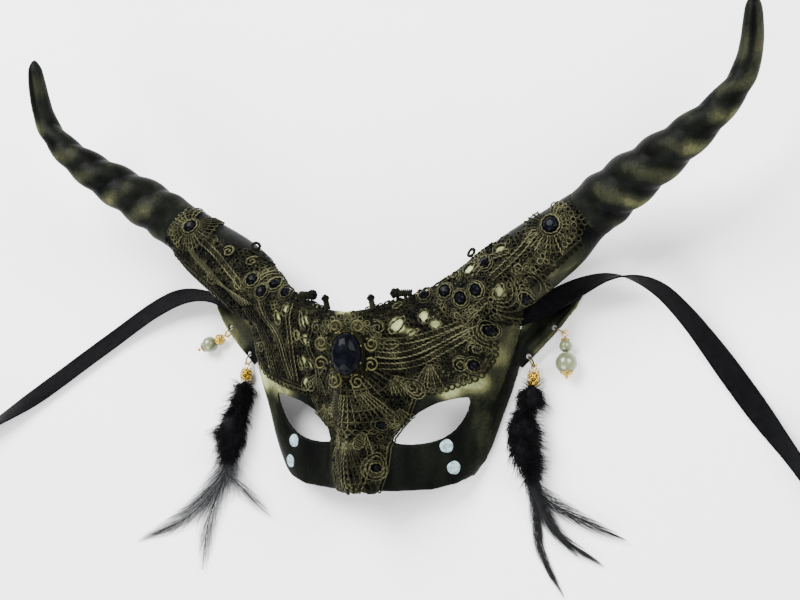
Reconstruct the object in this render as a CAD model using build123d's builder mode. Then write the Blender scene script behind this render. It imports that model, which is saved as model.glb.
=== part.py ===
"""Antelope-horn half mask, lying face up.

Millimetres. +Z points out of the face, +Y from the nose to the horn tips, +X to the right of
someone who looks at the face. The floor is z = 0 and the origin is the bottom centre of the mask
with its horns and drops, without its two ribbons.
"""
from build123d import *
import math
import os

os.makedirs("parts", exist_ok=True)

# ---- driving dimensions -------------------------------------------------------------------
wall = 2.6                  # moulded shell
horn_wall = 1.1
lace_gap = 0.2              # glue line under the lace
lace_thickness = 1.5

# face: station along Y, half width at the floor, height of the dome, extra height of the nose
# ridge, distance from the middle at which the ridge has fallen to a third
face_stations = [
    (-94, 43, 21, 9, 9.5),
    (-84, 47, 23, 13, 10),
    (-74, 51.5, 24, 18, 10),
    (-62, 57, 24, 20, 10),
    (-50, 61, 26, 19.5, 10.5),
    (-40, 64.5, 30, 18, 12.5),
    (-28, 68, 38, 13.5, 17),
    (-14, 71.5, 44, 9, 23),
    (0, 75, 45, 8, 25),
    (14, 76, 42, 6, 25),
    (26, 75, 37, 4, 25),
]
face_foot = 4.0             # the face is modelled this far under the floor, then cut at it

# arm from the temple to the horn: x, y, z, radius
arm_stations = [
    (-2, -12.5, 46.5, 5),
    (10, -10.5, 44, 5.8),
    (22, -7.5, 39, 7.5),
    (36, -1.5, 32.5, 10),
    (50, 4.5, 27.2, 13.2),
    (62, 11, 24.2, 15.8),
    (75, 20.2, 23.2, 16.8),
    (87.7, 28.9, 24, 15.9),
    (96, 34.8, 25, 14.6),
    (107.5, 43.8, 27.5, 12.3),
]

# horn, from its base to its tip: x, y, z, radius
horn_stations = [
    (107.5, 43.8, 27.5, 12.3),
    (119.9, 52, 32.5, 12.2),
    (134.7, 60.5, 38.5, 10.9),
    (148.5, 68.5, 44, 9.4),
    (160.5, 76.5, 48, 7.8),
    (169.7, 84.5, 50.5, 6.5),
    (176.2, 92.5, 52, 5.8),
    (179.8, 100.5, 53.5, 5.4),
    (181.6, 108.5, 55.6, 5.0),
    (182.4, 116.5, 58.2, 4.4),
    (182.7, 123, 60.3, 3.4),
    (182.8, 126.6, 61.4, 1.4),
]
spigot_length = 5.0
spigot_clearance = 1.0

# ear: centre line x, y, z and half width, from the temple to the tip
ear_stations = [
    (66.0, -20.6, 4.4, 7.2),
    (74.4, -12.0, 4.25, 6.9),
    (81.0, -5.5, 4.25, 6.6),
    (87.5, 1.0, 3.6, 5.4),
    (93.5, 6.3, 2.0, 3.4),
    (98.2, 10.6, 1.0, 0.9),
]
ear_thickness = 1.8
ear_cup = 1.4
ear_out = Vector(0.74, -0.67, 0)        # towards the lower edge of the right ear
ear_hole_radius = 1.3

ribbon_slot = (16.0, 16.0, 5.0)         # gap over each ear root, cut through the side wall
ribbon_slot_centre = (76.0, 0.8, 7.7)
ribbon_width = 11.0
ribbon_thickness = 0.8

# gem on the brow
gem_centre = (2.3, -24.8)
gem_size = (15.0, 20.0)
gem_height = 6.0
setting_curl_radius = 2.2
setting_wire = 0.7

# jewellery wire
ring_radius = 2.75
ring_wire = 0.4
loop_radius = 1.4
loop_wire = 0.35
ring_height = 3.5                       # height of the rings' centres over the floor
bead_bore = 0.5


# ---- the face as a height -----------------------------------------------------------------
def face_section(y):
    """What a face station says, at any place along Y."""
    for low, high in zip(face_stations, face_stations[1:]):
        if low[0] <= y <= high[0]:
            part = (y - low[0]) / (high[0] - low[0])
            return [a + (b - a) * part for a, b in zip(low[1:], high[1:])]
    return list(face_stations[-1][1:])


def nose_at(x, nose, nose_width):
    return nose * math.exp(-((x / nose_width) ** 2))


def face_height(x, y):
    """Height of the outside of the face over the floor."""
    half_width, dome, nose, nose_width = face_section(y)
    inside = max(0.0, 1 - (x / half_width) ** 2)
    return dome * math.sqrt(inside) + nose_at(x, nose, nose_width)


def arm_height(x, y):
    """Height of the top of the arm over a point, or zero beside it."""
    best = 0.0
    for low, high in zip(arm_stations, arm_stations[1:]):
        for step in range(9):
            part = step / 8
            cx, cy, cz, radius = [a + (b - a) * part for a, b in zip(low, high)]
            beside = math.hypot(abs(x) - cx, y - cy)
            if beside < radius:
                best = max(best, cz + math.sqrt(radius**2 - beside**2))
    return best


def surface_height(x, y):
    return max(face_height(x, y), arm_height(x, y))


def surface_plane(x, y, lift):
    """A plane that stands on the outside of the mask, raised along the surface normal."""
    step = 0.8
    slope_x = (surface_height(x + step, y) - surface_height(x - step, y)) / (2 * step)
    slope_y = (surface_height(x, y + step) - surface_height(x, y - step)) / (2 * step)
    normal = Vector(-slope_x, -slope_y, 1).normalized()
    foot = Vector(x, y, surface_height(x, y)) + normal * lift
    return Plane(origin=foot, x_dir=(1, 0, slope_x), z_dir=normal)


# ---- volumes that the shell and the lace are cut from ---------------------------------------
def face_volume(offset):
    """The face filled down to below the floor, grown by the offset."""
    with BuildPart() as volume:
        for y, half_width, dome, nose, nose_width in face_stations:
            ridge = []
            for step in range(17):
                angle = math.pi * step / 16
                x = (half_width + offset) * math.cos(angle)
                height = (dome + offset) * math.sin(angle) + nose_at(x, nose, nose_width)
                ridge.append((x, height))
            with BuildSketch(Plane(origin=(0, y, 0), x_dir=(1, 0, 0), z_dir=(0, -1, 0))):
                with BuildLine():
                    Spline(*ridge)
                    Polyline(
                        ridge[-1],
                        (ridge[-1][0], -face_foot),
                        (ridge[0][0], -face_foot),
                        ridge[0],
                    )
                make_face()
        loft()
    return volume.part


def tube_volume(stations, offset, first_way=None, last_way=None):
    """A round tapered body through the stations, each circle square to the way through it."""
    last = len(stations) - 1
    with BuildPart() as volume:
        for index, (x, y, z, radius) in enumerate(stations):
            before = Vector(*stations[max(index - 1, 0)][:3])
            after = Vector(*stations[min(index + 1, last)][:3])
            way = (after - before).normalized()
            if index == 0 and first_way:
                way = first_way
            if index == last and last_way:
                way = last_way
            side = Vector(0, 0, 1).cross(way)
            with BuildSketch(Plane(origin=(x, y, z), x_dir=side, z_dir=way)):
                Circle(radius + offset)
        loft()
    return volume.part


# the joint between arm and horn is square to this way
horn_way = (Vector(*horn_stations[1][:3]) - Vector(*arm_stations[-2][:3])).normalized()


def arm_volume(offset):
    return tube_volume(arm_stations, offset, last_way=horn_way)


def prism(points, low, high):
    """A closed outline through corner points, raised from low to high."""
    with BuildPart() as volume:
        with BuildSketch(Plane.XY.offset(low)):
            with BuildLine():
                Polyline(*points, close=True)
            make_face()
        extrude(amount=high - low)
    return volume.part


def both_halves(top, bottom):
    """A closed outline from the right half of its top and bottom lines, middle outwards."""
    left_bottom = [(-x, y) for x, y in bottom[1:]]
    left_top = [(-x, y) for x, y in reversed(top[1:])]
    return top + list(reversed(bottom)) + left_bottom + left_top


# brow and jaw lines on the right half, from the middle outwards
brow_line = [(0, -5), (9, -3.6), (17, -0.6), (28, 3.6), (38, 9), (50, 19), (70, 31), (90, 40)]
jaw_line = [(0, -87), (19, -85.5), (33, -84), (43, -80.5), (49, -76), (53, -70), (90, -62)]
face_trim = prism(both_halves(brow_line, jaw_line), -10, 90)


def shell_volume(offset):
    """The outside of face and arms as one filled body."""
    with BuildPart() as volume:
        add(face_volume(offset))
        add(face_trim, mode=Mode.INTERSECT)
        add(arm_volume(offset))
        add(mirror(arm_volume(offset), about=Plane.YZ))
    return volume.part


# ---- mask shell -----------------------------------------------------------------------------
def ear_volume():
    """A cupped leaf on the right side, its sections square to its own centre line."""
    along = Vector(-ear_out.Y, ear_out.X, 0)
    with BuildPart() as volume:
        for x, y, z, half_width in ear_stations:
            cup = ear_cup * half_width / ear_stations[0][3]
            half_thickness = ear_thickness / 2
            with BuildSketch(Plane(origin=(x, y, z), x_dir=ear_out, z_dir=along)):
                with BuildLine():
                    ThreePointArc(
                        (-half_width, half_thickness),
                        (0, half_thickness - cup),
                        (half_width, half_thickness),
                    )
                    Line((half_width, half_thickness), (half_width, -half_thickness))
                    ThreePointArc(
                        (half_width, -half_thickness),
                        (0, -half_thickness - cup),
                        (-half_width, -half_thickness),
                    )
                    Line((-half_width, -half_thickness), (-half_width, half_thickness))
                make_face()
        loft(ruled=True)
    return volume.part


pearl_hole = (86.3, -5.7)
feather_hole = (74.3, -19.4)


def eye_opening():
    """The right eye, cut straight through from the front."""
    outer = (50.5, -40.3)
    inner = (15.0, -62.9)
    with BuildPart() as volume:
        with BuildSketch(Plane.XY.offset(-10)):
            with BuildLine():
                Spline(outer, (34, -44.8), (22.5, -52.2), inner)
                Spline(inner, (27, -63.0), (39, -58.9), (46.6, -51), outer)
            make_face()
        extrude(amount=90)
    return volume.part


horn_plane = Plane(
    origin=horn_stations[0][:3], x_dir=Vector(0, 0, 1).cross(horn_way), z_dir=horn_way
)
spigot_radius = horn_stations[0][3] - horn_wall - spigot_clearance


def spigot():
    """The short tube on the end of the right arm that the horn is glued over."""
    with BuildPart() as volume:
        with BuildSketch(horn_plane.offset(-2)):
            Circle(spigot_radius)
            Circle(spigot_radius - 2, mode=Mode.SUBTRACT)
        extrude(amount=spigot_length + 2)
    return volume.part


with BuildPart() as right_side:
    add(ear_volume())
    with Locations((*pearl_hole, 0), (*feather_hole, 0)):
        Cylinder(ear_hole_radius, 30, mode=Mode.SUBTRACT)
    add(spigot())

with BuildPart() as mask_shell:
    add(shell_volume(0))
    add(face_volume(-wall), mode=Mode.SUBTRACT)
    add(arm_volume(-wall), mode=Mode.SUBTRACT)
    add(mirror(arm_volume(-wall), about=Plane.YZ), mode=Mode.SUBTRACT)
    add(eye_opening(), mode=Mode.SUBTRACT)
    add(mirror(eye_opening(), about=Plane.YZ), mode=Mode.SUBTRACT)
    for side in (1, -1):
        x, y, z = ribbon_slot_centre
        with Locations((side * x, y, z)):
            Box(*ribbon_slot, mode=Mode.SUBTRACT)
    split(bisect_by=Plane.XY, keep=Keep.TOP)
    add(right_side.part)
    add(mirror(right_side.part, about=Plane.YZ))
    split(bisect_by=Plane.XY, keep=Keep.TOP)
mask_shell.part.label = "mask_shell"
export_step(mask_shell.part, "parts/mask_shell.step")


def finish_piece(part, label):
    """Name a piece and write it to its own file."""
    part.label = label
    export_step(part, f"parts/{label}.step")


# ---- horns ----------------------------------------------------------------------------------
cavity_stations = [station[:3] + (station[3] - horn_wall,) for station in horn_stations[:9]]

with BuildPart() as right_horn:
    add(tube_volume(horn_stations, 0, first_way=horn_way))
    add(tube_volume(cavity_stations, 0, first_way=horn_way), mode=Mode.SUBTRACT)
finish_piece(right_horn.part, "right_horn")

with BuildPart() as left_horn:
    add(mirror(right_horn.part, about=Plane.YZ))
finish_piece(left_horn.part, "left_horn")

# ---- lace -----------------------------------------------------------------------------------
# right half of each outline, seen from the front
brow_lace_top = [(0, -6.5), (10, -5), (24, -1), (38, 3), (52, 8), (61, 12)]
brow_lace_bottom = [(0, -44), (19, -44), (29, -39), (41, -36), (55, -30), (61, -21), (62, -8)]
nose_lace_top = [(0, -44.4), (18.6, -44.4)]
nose_lace_bottom = [(0, -89), (8, -86.5), (12.5, -76), (13, -64), (17.5, -53)]
arm_lace_outline = [
    (14, -13), (34, -12), (50, -11), (66, -5), (83, 12), (95, 21), (105, 30), (111, 38),
    (108, 45), (101, 47), (90, 40), (79, 34), (64, 29), (48, 20), (34, 11), (22, 3), (14, 0),
]
lace_top = lace_gap + lace_thickness


def lace_on_face(outline, low, label):
    """Lace over the face itself, clear of the lace on the arms."""
    with BuildPart() as piece:
        add(prism(outline, low, 90))
        add(face_volume(lace_top), mode=Mode.INTERSECT)
        add(face_volume(lace_gap), mode=Mode.SUBTRACT)
        add(arm_volume(lace_top + lace_gap), mode=Mode.SUBTRACT)
        add(mirror(arm_volume(lace_top + lace_gap), about=Plane.YZ), mode=Mode.SUBTRACT)
    finish_piece(piece.part, label)


lace_on_face(both_halves(brow_lace_top, brow_lace_bottom), 19, "brow_lace")
lace_on_face(both_halves(nose_lace_top, nose_lace_bottom), 14, "nose_lace")

with BuildPart() as right_arm_lace:
    add(prism(arm_lace_outline, 20, 90))
    add(arm_volume(lace_top), mode=Mode.INTERSECT)
    add(arm_volume(lace_gap), mode=Mode.SUBTRACT)
    add(face_volume(lace_gap), mode=Mode.SUBTRACT)
finish_piece(right_arm_lace.part, "right_arm_lace")

with BuildPart() as left_arm_lace:
    add(mirror(right_arm_lace.part, about=Plane.YZ))
finish_piece(left_arm_lace.part, "left_arm_lace")

# stiff corded ends of the lace along the upper edge: foot x, y, z of each
peg_feet = [(13.4, -3.4, 52.0), (-9.5, -3.4, 52.0)]
peg_length = 6.0
with BuildPart() as lace_pegs:
    for foot in peg_feet:
        upright = Plane(origin=foot, z_dir=(0.05, 0.75, 0.65))
        with Locations(upright):
            Cylinder(1.1, peg_length, align=(Align.CENTER, Align.CENTER, Align.MIN))
        with Locations(upright.offset(peg_length)):
            Sphere(1.9)
finish_piece(lace_pegs.part, "lace_pegs")

# the end, and the way to the other end, of each knobbed cord that lies along the edge
knob_starts = [(29.5, 4.8, 45.6), (-27.2, 4.3, 46.1)]
knob_length = 8.0
with BuildPart() as lace_knobs:
    for start in knob_starts:
        lying = Plane(origin=start, z_dir=(-math.copysign(0.97, start[0]), -0.06, 0.2))
        with Locations(lying):
            Cylinder(1.6, knob_length, align=(Align.CENTER, Align.CENTER, Align.MIN))
        with Locations(lying.offset(knob_length)):
            Sphere(2.4)
finish_piece(lace_knobs.part, "lace_knobs")

# the centre of each loose loop, and the way its flat side faces
loop_places = [
    ((53.5, 25.3, 33.7), (-0.4, 0.3, 0.85)),
    ((-61.0, 31.6, 30.7), (0.4, 0.3, 0.85)),
]
with BuildPart() as lace_loops:
    for centre, way in loop_places:
        with Locations(Plane(origin=centre, z_dir=way)):
            Torus(1.8, 0.7)
finish_piece(lace_loops.part, "lace_loops")

# ---- stones and studs -----------------------------------------------------------------------
gem_seat = surface_plane(*gem_centre, lace_top + 0.3)
seat_height = 1.8
curl_count = 8

with BuildPart() as gem_setting:
    with BuildSketch(gem_seat):
        Ellipse(gem_size[0] / 2 + 1.0, gem_size[1] / 2 + 1.0)
    extrude(amount=seat_height)
    with BuildSketch(gem_seat.offset(seat_height / 2)):
        Ellipse(gem_size[0] / 2 + 0.1, gem_size[1] / 2 + 0.1)
    extrude(amount=seat_height, mode=Mode.SUBTRACT)
    for index in range(curl_count):
        angle = 2 * math.pi * (index + 0.5) / curl_count
        out_x = (gem_size[0] / 2 + 3.2) * math.cos(angle)
        out_y = (gem_size[1] / 2 + 3.0) * math.sin(angle)
        with Locations(gem_seat.offset(seat_height / 2) * Location((out_x, out_y, 0))):
            Torus(setting_curl_radius, setting_wire)
finish_piece(gem_setting.part, "gem_setting")

with BuildPart() as oval_gem:
    with BuildSketch(gem_seat.offset(seat_height / 2 + 0.05)):
        Ellipse(gem_size[0] / 2, gem_size[1] / 2)
    extrude(amount=seat_height / 2)
    with BuildSketch(gem_seat.offset(seat_height + 0.05)):
        Ellipse(gem_size[0] / 2, gem_size[1] / 2)
    with BuildSketch(gem_seat.offset(seat_height / 2 + gem_height)):
        Ellipse(gem_size[0] * 0.22, gem_size[1] * 0.25)
    loft(ruled=True)
finish_piece(oval_gem.part, "oval_gem")

# black round studs in the lace: x, y, radius
stud_places = [
    (92.7, 36.0, 3.5),
    (34.3, 4.0, 2.1), (44.0, 5.8, 2.4), (51.5, 3.0, 2.4), (58.7, 6.7, 2.3),
    (62.5, 19.0, 2.2), (79.2, 4.5, 2.1), (60.5, -9.5, 2.6), (53.5, -25.9, 2.1),
    (-57.0, 12.8, 2.4), (-50.8, 6.9, 2.4), (-45.0, 10.5, 2.4), (-37.5, 6.3, 2.4),
    (-95.0, 40.5, 2.6), (11.1, -55.3, 1.6), (-8.5, -72.4, 1.5), (9.5, -75.2, 1.5),
]
stud_height = 1.8
with BuildPart() as round_studs:
    for x, y, radius in stud_places:
        seat = surface_plane(x, y, lace_top + 0.25)
        with BuildSketch(seat):
            Circle(radius)
        extrude(amount=stud_height, taper=25)
finish_piece(round_studs.part, "round_studs")

# pale flat studs on the cheeks: x, y
dot_places = [(39.7, -63.4), (42.6, -73.2), (-39.7, -63.4), (-42.6, -73.2)]
dot_radius = 3.1
with BuildPart() as cheek_dots:
    for x, y in dot_places:
        with BuildSketch(surface_plane(x, y, 0.15)):
            Circle(dot_radius)
        extrude(amount=1.0)
finish_piece(cheek_dots.part, "cheek_dots")


# ---- drops ----------------------------------------------------------------------------------
class Drop:
    """Where a jump ring and what hangs on it lie: hole, far side of the ring, way of the drop."""

    def __init__(self, hole, ring_angle, drop_angle, rise=0.0):
        turn = math.radians(ring_angle)
        self.ring_way = Vector(math.cos(turn), math.sin(turn), 0)
        self.hole = Vector(*hole, ring_height)
        self.ring_centre = self.hole + self.ring_way * ring_radius
        self.pivot = self.hole + self.ring_way * (2 * ring_radius)
        turn = math.radians(drop_angle)
        lift = math.radians(rise)
        flat = Vector(math.cos(turn), math.sin(turn), 0)
        self.way = flat * math.cos(lift) + Vector(0, 0, math.sin(lift))

    def plane(self, distance):
        """A plane across the drop, at a distance from its pivot."""
        side = Vector(0, 0, 1).cross(self.way).normalized()
        return Plane(origin=self.pivot + self.way * distance, x_dir=side, z_dir=self.way)


right_pearl_drop = Drop(pearl_hole, -27, -84, rise=7)
left_pearl_drop = Drop((-pearl_hole[0], pearl_hole[1]), -127, -154, rise=4)
right_feather_drop = Drop(feather_hole, -62, -91, rise=2)
left_feather_drop = Drop((-feather_hole[0], feather_hole[1]), -110, -92, rise=2)


def jump_ring(drop, label):
    across = Vector(0, 0, 1).cross(drop.ring_way)
    with BuildPart(Plane(origin=drop.ring_centre, x_dir=drop.ring_way, z_dir=across)) as ring:
        Torus(ring_radius, ring_wire)
    finish_piece(ring.part, label)


jump_ring(right_pearl_drop, "right_pearl_ring")
jump_ring(left_pearl_drop, "left_pearl_ring")
jump_ring(right_feather_drop, "right_feather_ring")
jump_ring(left_feather_drop, "left_feather_ring")


def eye_pin(drop, length, label):
    """A wire with an eye round the ring's far side and a straight stem along the drop."""
    with BuildPart() as pin:
        with Locations(Plane(origin=drop.pivot)):
            Torus(loop_radius, loop_wire)
        with BuildSketch(drop.plane(loop_radius)):
            Circle(loop_wire)
        extrude(amount=length - loop_radius)
    finish_piece(pin.part, label)


def round_body(drop, rings, label):
    """A body round the stem: distance and radius of each ring along it, with a bore."""
    with BuildPart() as body:
        with BuildSketch(Plane.XZ):
            with BuildLine():
                Spline(*[(radius, distance) for distance, radius in rings])
                Polyline(
                    (rings[-1][1], rings[-1][0]),
                    (bead_bore, rings[-1][0]),
                    (bead_bore, rings[0][0]),
                    (rings[0][1], rings[0][0]),
                )
            make_face()
        revolve(axis=Axis.Z)
    placed = drop.plane(0).location * body.part
    finish_piece(placed, label)


def pearl(drop, distance, radius, label):
    """A ball with a bore along the stem."""
    with BuildPart(drop.plane(distance)) as ball:
        Sphere(radius)
        Cylinder(bead_bore, 3 * radius, mode=Mode.SUBTRACT)
    finish_piece(ball.part, label)


eye_pin(right_pearl_drop, 21.5, "right_pearl_pin")
pearl(right_pearl_drop, 6.2, 3.0, "right_small_pearl")
pearl(right_pearl_drop, 14.4, 5.0, "right_big_pearl")
cap_shape = [(0, 0.9), (0.5, 1.9), (1.1, 1.3)]
round_body(right_pearl_drop, [(2.1 + a, b) for a, b in cap_shape], "right_upper_cap")
round_body(right_pearl_drop, [(19.6, 2.6), (20.1, 2.0), (20.6, 0.9)], "right_lower_cap")

eye_pin(left_pearl_drop, 17.0, "left_pearl_pin")
round_body(
    left_pearl_drop,
    [(2.1, 0.9), (2.9, 2.2), (4.0, 2.9), (5.3, 2.3), (5.9, 1.2)],
    "left_bead_cluster",
)
pearl(left_pearl_drop, 10.2, 4.1, "left_pearl")
round_body(left_pearl_drop, [(14.5, 2.2), (15.0, 1.7), (15.6, 0.9)], "left_lower_cap")

filigree_shape = [(2.1, 1.0), (3.2, 2.6), (5.2, 3.3), (7.4, 2.6), (8.8, 1.5)]
for side, drop in (("right", right_feather_drop), ("left", left_feather_drop)):
    eye_pin(drop, 9.2, f"{side}_feather_pin")
    round_body(drop, filigree_shape, f"{side}_filigree_bead")


def fur_tuft(stations, label):
    """A soft round body of fur along its own way; x, y, z and radius."""
    finish_piece(tube_volume(stations, 0), label)


fur_tuft(
    [
        (77.0, -33.9, 4.1, 1.6), (76.8, -36.5, 5.2, 4.0), (76.4, -39.5, 5.9, 5.0),
        (75.2, -43.0, 5.4, 4.4), (74.4, -46.0, 5.0, 3.0), (74.0, -48.5, 5.6, 4.2),
        (73.9, -53.5, 7.0, 6.2), (74.6, -60.0, 7.3, 6.6), (75.8, -67.0, 6.5, 5.8),
        (77.2, -74.0, 5.0, 4.3), (78.3, -79.5, 3.6, 2.2),
    ],
    "right_fur_tuft",
)
fur_tuft(
    [
        (-76.4, -34.0, 4.1, 1.6), (-76.5, -37.0, 5.2, 4.2), (-76.8, -41.0, 5.9, 5.2),
        (-77.6, -46.5, 5.8, 5.0), (-78.4, -51.0, 6.0, 5.2), (-79.4, -57.0, 6.8, 6.1),
        (-80.6, -63.5, 6.6, 6.0), (-82.2, -70.0, 5.6, 5.0), (-84.2, -77.0, 3.8, 2.8),
    ],
    "left_fur_tuft",
)


def blade(start, middle, end, height, width):
    """One flat feather: a pointed leaf about a curved shaft, lying at one height."""
    way = Vector(end[0] - start[0], end[1] - start[1]).normalized()
    side_x, side_y = -way.Y * width / 2, way.X * width / 2
    with BuildPart() as leaf:
        with BuildSketch(Plane.XY.offset(height)):
            with BuildLine():
                Spline(start, (middle[0] + side_x, middle[1] + side_y), end)
                Spline(end, (middle[0] - side_x, middle[1] - side_y), start)
            make_face()
        extrude(amount=0.9)
    return leaf.part


# start, middle and tip of each feather, height over the floor, width
right_blades = [
    ((78.6, -80.6), (82, -108), (94.1, -129.7), 0.4, 5.0),
    ((79.0, -80.6), (91, -101), (112.6, -114.6), 1.5, 6.0),
    ((79.4, -80.6), (98, -92.5), (123.0, -102.3), 2.6, 6.0),
    ((78.8, -80.6), (86, -96), (101, -111), 3.7, 5.0),
]
left_blades = [
    ((-84.8, -78.2), (-105, -103), (-135.5, -117.9), 0.4, 6.0),
    ((-84.6, -78.2), (-93, -105), (-94.9, -130.0), 1.5, 7.0),
    ((-84.4, -78.2), (-74, -88), (-57.0, -101.3), 2.6, 5.5),
    ((-84.7, -78.2), (-101, -97), (-117, -106), 3.7, 5.0),
]
for label, blades in (("right_hackles", right_blades), ("left_hackles", left_blades)):
    with BuildPart() as hackles:
        for start, middle, end, height, width in blades:
            add(blade(start, middle, end, height, width))
    finish_piece(hackles.part, label)

# ---- ribbons --------------------------------------------------------------------------------
# Each ribbon starts inside the mask, comes out of the gap over the ear, arches over to the floor
# and ends in a loose round coil that stands on the floor.
right_route = [
    (66, -1, 6.9), (80, 3.0, 7.7), (98, 12.2, 11.0), (117, 17.8, 14.0), (135, 13.3, 12.0),
    (148.5, -0.5, 7.4), (159.5, -15, 3.0), (170, -29.5, 1.3), (181, -44.5, 0.9),
    (193.5, -61, 0.9), (206.5, -78.5, 1.2), (219.5, -94.5, 3.0),
]
left_route = [
    (-66, -1, 6.9), (-80, 2.6, 7.7), (-97, 10.2, 9.6), (-115, 10.8, 9.0), (-132, 4.4, 6.2),
    (-149, -5.0, 3.0), (-166, -16, 1.4), (-183, -27.5, 0.9), (-201, -39.8, 0.8),
    (-218, -50.8, 0.9), (-234, -60.8, 0.9), (-249, -70.5, 1.1), (-262, -79.2, 1.9),
    (-272, -85.0, 3.2),
]
coil_radius = 55.0                      # to the middle of the turns
coil_width = 7.0
right_coil_centre = (264.5, -58.0)
left_coil_centre = (-301.0, -36.0)


def route_radii(route):
    """The radius at each corner: 0.45 of the shorter run over the tangent of half the turn."""
    points = [Vector(*point) for point in route]
    radii = []
    for before, here, after in zip(points, points[1:], points[2:]):
        turn = math.radians((here - before).get_angle(after - here))
        shorter = min((here - before).length, (after - here).length)
        radii.append(0.45 * shorter / math.tan(turn / 2))
    return radii


def ribbon(route, label):
    """A flat band that starts level across its width."""
    radii = route_radii(route)
    with BuildPart() as band:
        with BuildLine() as way:
            FilletPolyline(*route, radius=radii)
        path = way.wires()[0]
        start = path @ 0
        heading = path % 0
        side = Vector(0, 0, 1).cross(heading).normalized()
        with BuildSketch(Plane(origin=start, x_dir=side, z_dir=heading)):
            Rectangle(ribbon_width, ribbon_thickness)
        sweep(path=path)
    print(label, "radii", [round(radius, 1) for radius in radii])
    expected = path.length * ribbon_width * ribbon_thickness
    print(label, "length", round(path.length, 1), "volume", round(band.part.volume, 1),
          "section times length", round(expected, 1))
    finish_piece(band.part, label)


def ribbon_coil(centre, label):
    with BuildPart() as coil:
        with BuildSketch(Plane.XY):
            with Locations(centre):
                Circle(coil_radius + coil_width / 2)
                Circle(coil_radius - coil_width / 2, mode=Mode.SUBTRACT)
        extrude(amount=ribbon_width + 0.4)
    finish_piece(coil.part, label)


ribbon(right_route, "right_ribbon")
ribbon(left_route, "left_ribbon")
ribbon_coil(right_coil_centre, "right_ribbon_coil")
ribbon_coil(left_coil_centre, "left_ribbon_coil")
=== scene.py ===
"""Looks of the antelope half mask: lace, stones, fur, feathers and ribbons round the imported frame.

Lengths in this script are millimetres until a mesh is made; make_mesh() turns them into metres.
+Z points out of the face, +Y to the horn tips, +X to the viewer's right.
"""
import math
import random

import bpy
import numpy as np
from mathutils import Matrix, Vector, noise
from mathutils.bvhtree import BVHTree


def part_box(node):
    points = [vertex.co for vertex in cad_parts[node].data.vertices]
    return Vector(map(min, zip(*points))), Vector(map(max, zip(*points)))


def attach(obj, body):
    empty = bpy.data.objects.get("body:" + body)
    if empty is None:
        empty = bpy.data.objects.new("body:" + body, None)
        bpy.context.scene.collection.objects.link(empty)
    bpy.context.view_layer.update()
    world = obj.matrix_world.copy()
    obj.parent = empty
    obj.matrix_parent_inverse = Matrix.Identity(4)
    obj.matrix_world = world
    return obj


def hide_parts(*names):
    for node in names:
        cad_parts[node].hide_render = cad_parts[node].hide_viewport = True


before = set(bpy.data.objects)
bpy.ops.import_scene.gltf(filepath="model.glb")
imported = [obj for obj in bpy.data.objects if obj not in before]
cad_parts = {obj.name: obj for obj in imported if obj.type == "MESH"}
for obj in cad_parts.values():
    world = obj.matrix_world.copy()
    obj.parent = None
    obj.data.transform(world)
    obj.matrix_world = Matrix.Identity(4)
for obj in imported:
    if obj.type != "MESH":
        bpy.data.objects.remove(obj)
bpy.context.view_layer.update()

MM = 0.001
UP = np.array([0.0, 0.0, 1.0])


# ---- meshes -------------------------------------------------------------------------------
def make_mesh(name, points, faces, material, wear_and_painted_light=None, smooth=True):
    """An object from points in millimetres; wear_and_painted_light is the gold rubbed on each point,
    plus painted highlight and shade on the horns.
    """
    mesh = bpy.data.meshes.new(name)
    mesh.from_pydata((np.asarray(points, float) * MM).tolist(), [], faces)
    mesh.validate()
    mesh.materials.append(material)
    if smooth:
        mesh.shade_smooth()
    if wear_and_painted_light is not None:
        layer = mesh.attributes.new("wear_and_painted_light", "FLOAT", "POINT")
        layer.data.foreach_set("value", np.asarray(wear_and_painted_light, np.float32))
    piece = bpy.data.objects.new(name, mesh)
    bpy.context.scene.collection.objects.link(piece)
    return piece


def settle(piece, body, slot, *nodes):
    """The piece moves with a body and stands for CAD nodes; the slot is not used."""
    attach(piece, body)
    if nodes:
        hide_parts(*nodes)
    return piece


def unit(vectors):
    vectors = np.asarray(vectors, float)
    length = np.linalg.norm(vectors, axis=-1, keepdims=True)
    return vectors / np.maximum(length, 1e-9)


def distances(path):
    """How far along a path each of its points lies."""
    runs = np.linalg.norm(np.diff(path, axis=0), axis=1)
    return np.concatenate([[0], np.cumsum(runs)])


def round_angles(count):
    return np.linspace(0, 2 * math.pi, count, endpoint=False)


def tube_faces(rings, around, closed=False, first=0):
    """Faces over rings of points: the tube meets its own start, or has a cap on each end."""
    faces = []
    for row in range(rings if closed else rings - 1):
        low = first + row * around
        top = first + (row + 1) % rings * around
        for index in range(around):
            turn = (index + 1) % around
            faces.append((low + index, low + turn, top + turn, top + index))
    if not closed:
        last = first + (rings - 1) * around
        faces.append(tuple(range(first, first + around))[::-1])
        faces.append(tuple(range(last, last + around)))
    return faces


def resample(points, step):
    """Even points along a polyline, about one step apart."""
    points = np.asarray(points, float)
    along = distances(points)
    count = max(3, int(round(along[-1] / step)) + 1)
    at = np.linspace(0, along[-1], count)
    return np.stack([np.interp(at, along, column) for column in points.T], 1)


def curve_through(points, step):
    """A smooth curve through the points, as even points about one step apart."""
    points = np.asarray(points, float)
    padded = np.vstack([2 * points[0] - points[1], points, 2 * points[-1] - points[-2]])
    fine = []
    for a, b, c, d in zip(padded, padded[1:], padded[2:], padded[3:]):
        for part in np.linspace(0, 1, 12, endpoint=False):
            fine.append(
                0.5 * (2 * b + (c - a) * part + (2 * a - 5 * b + 4 * c - d) * part**2
                       + (3 * b - a - 3 * c + d) * part**3)
            )
    fine.append(points[-1])
    return resample(fine, step)


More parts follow.
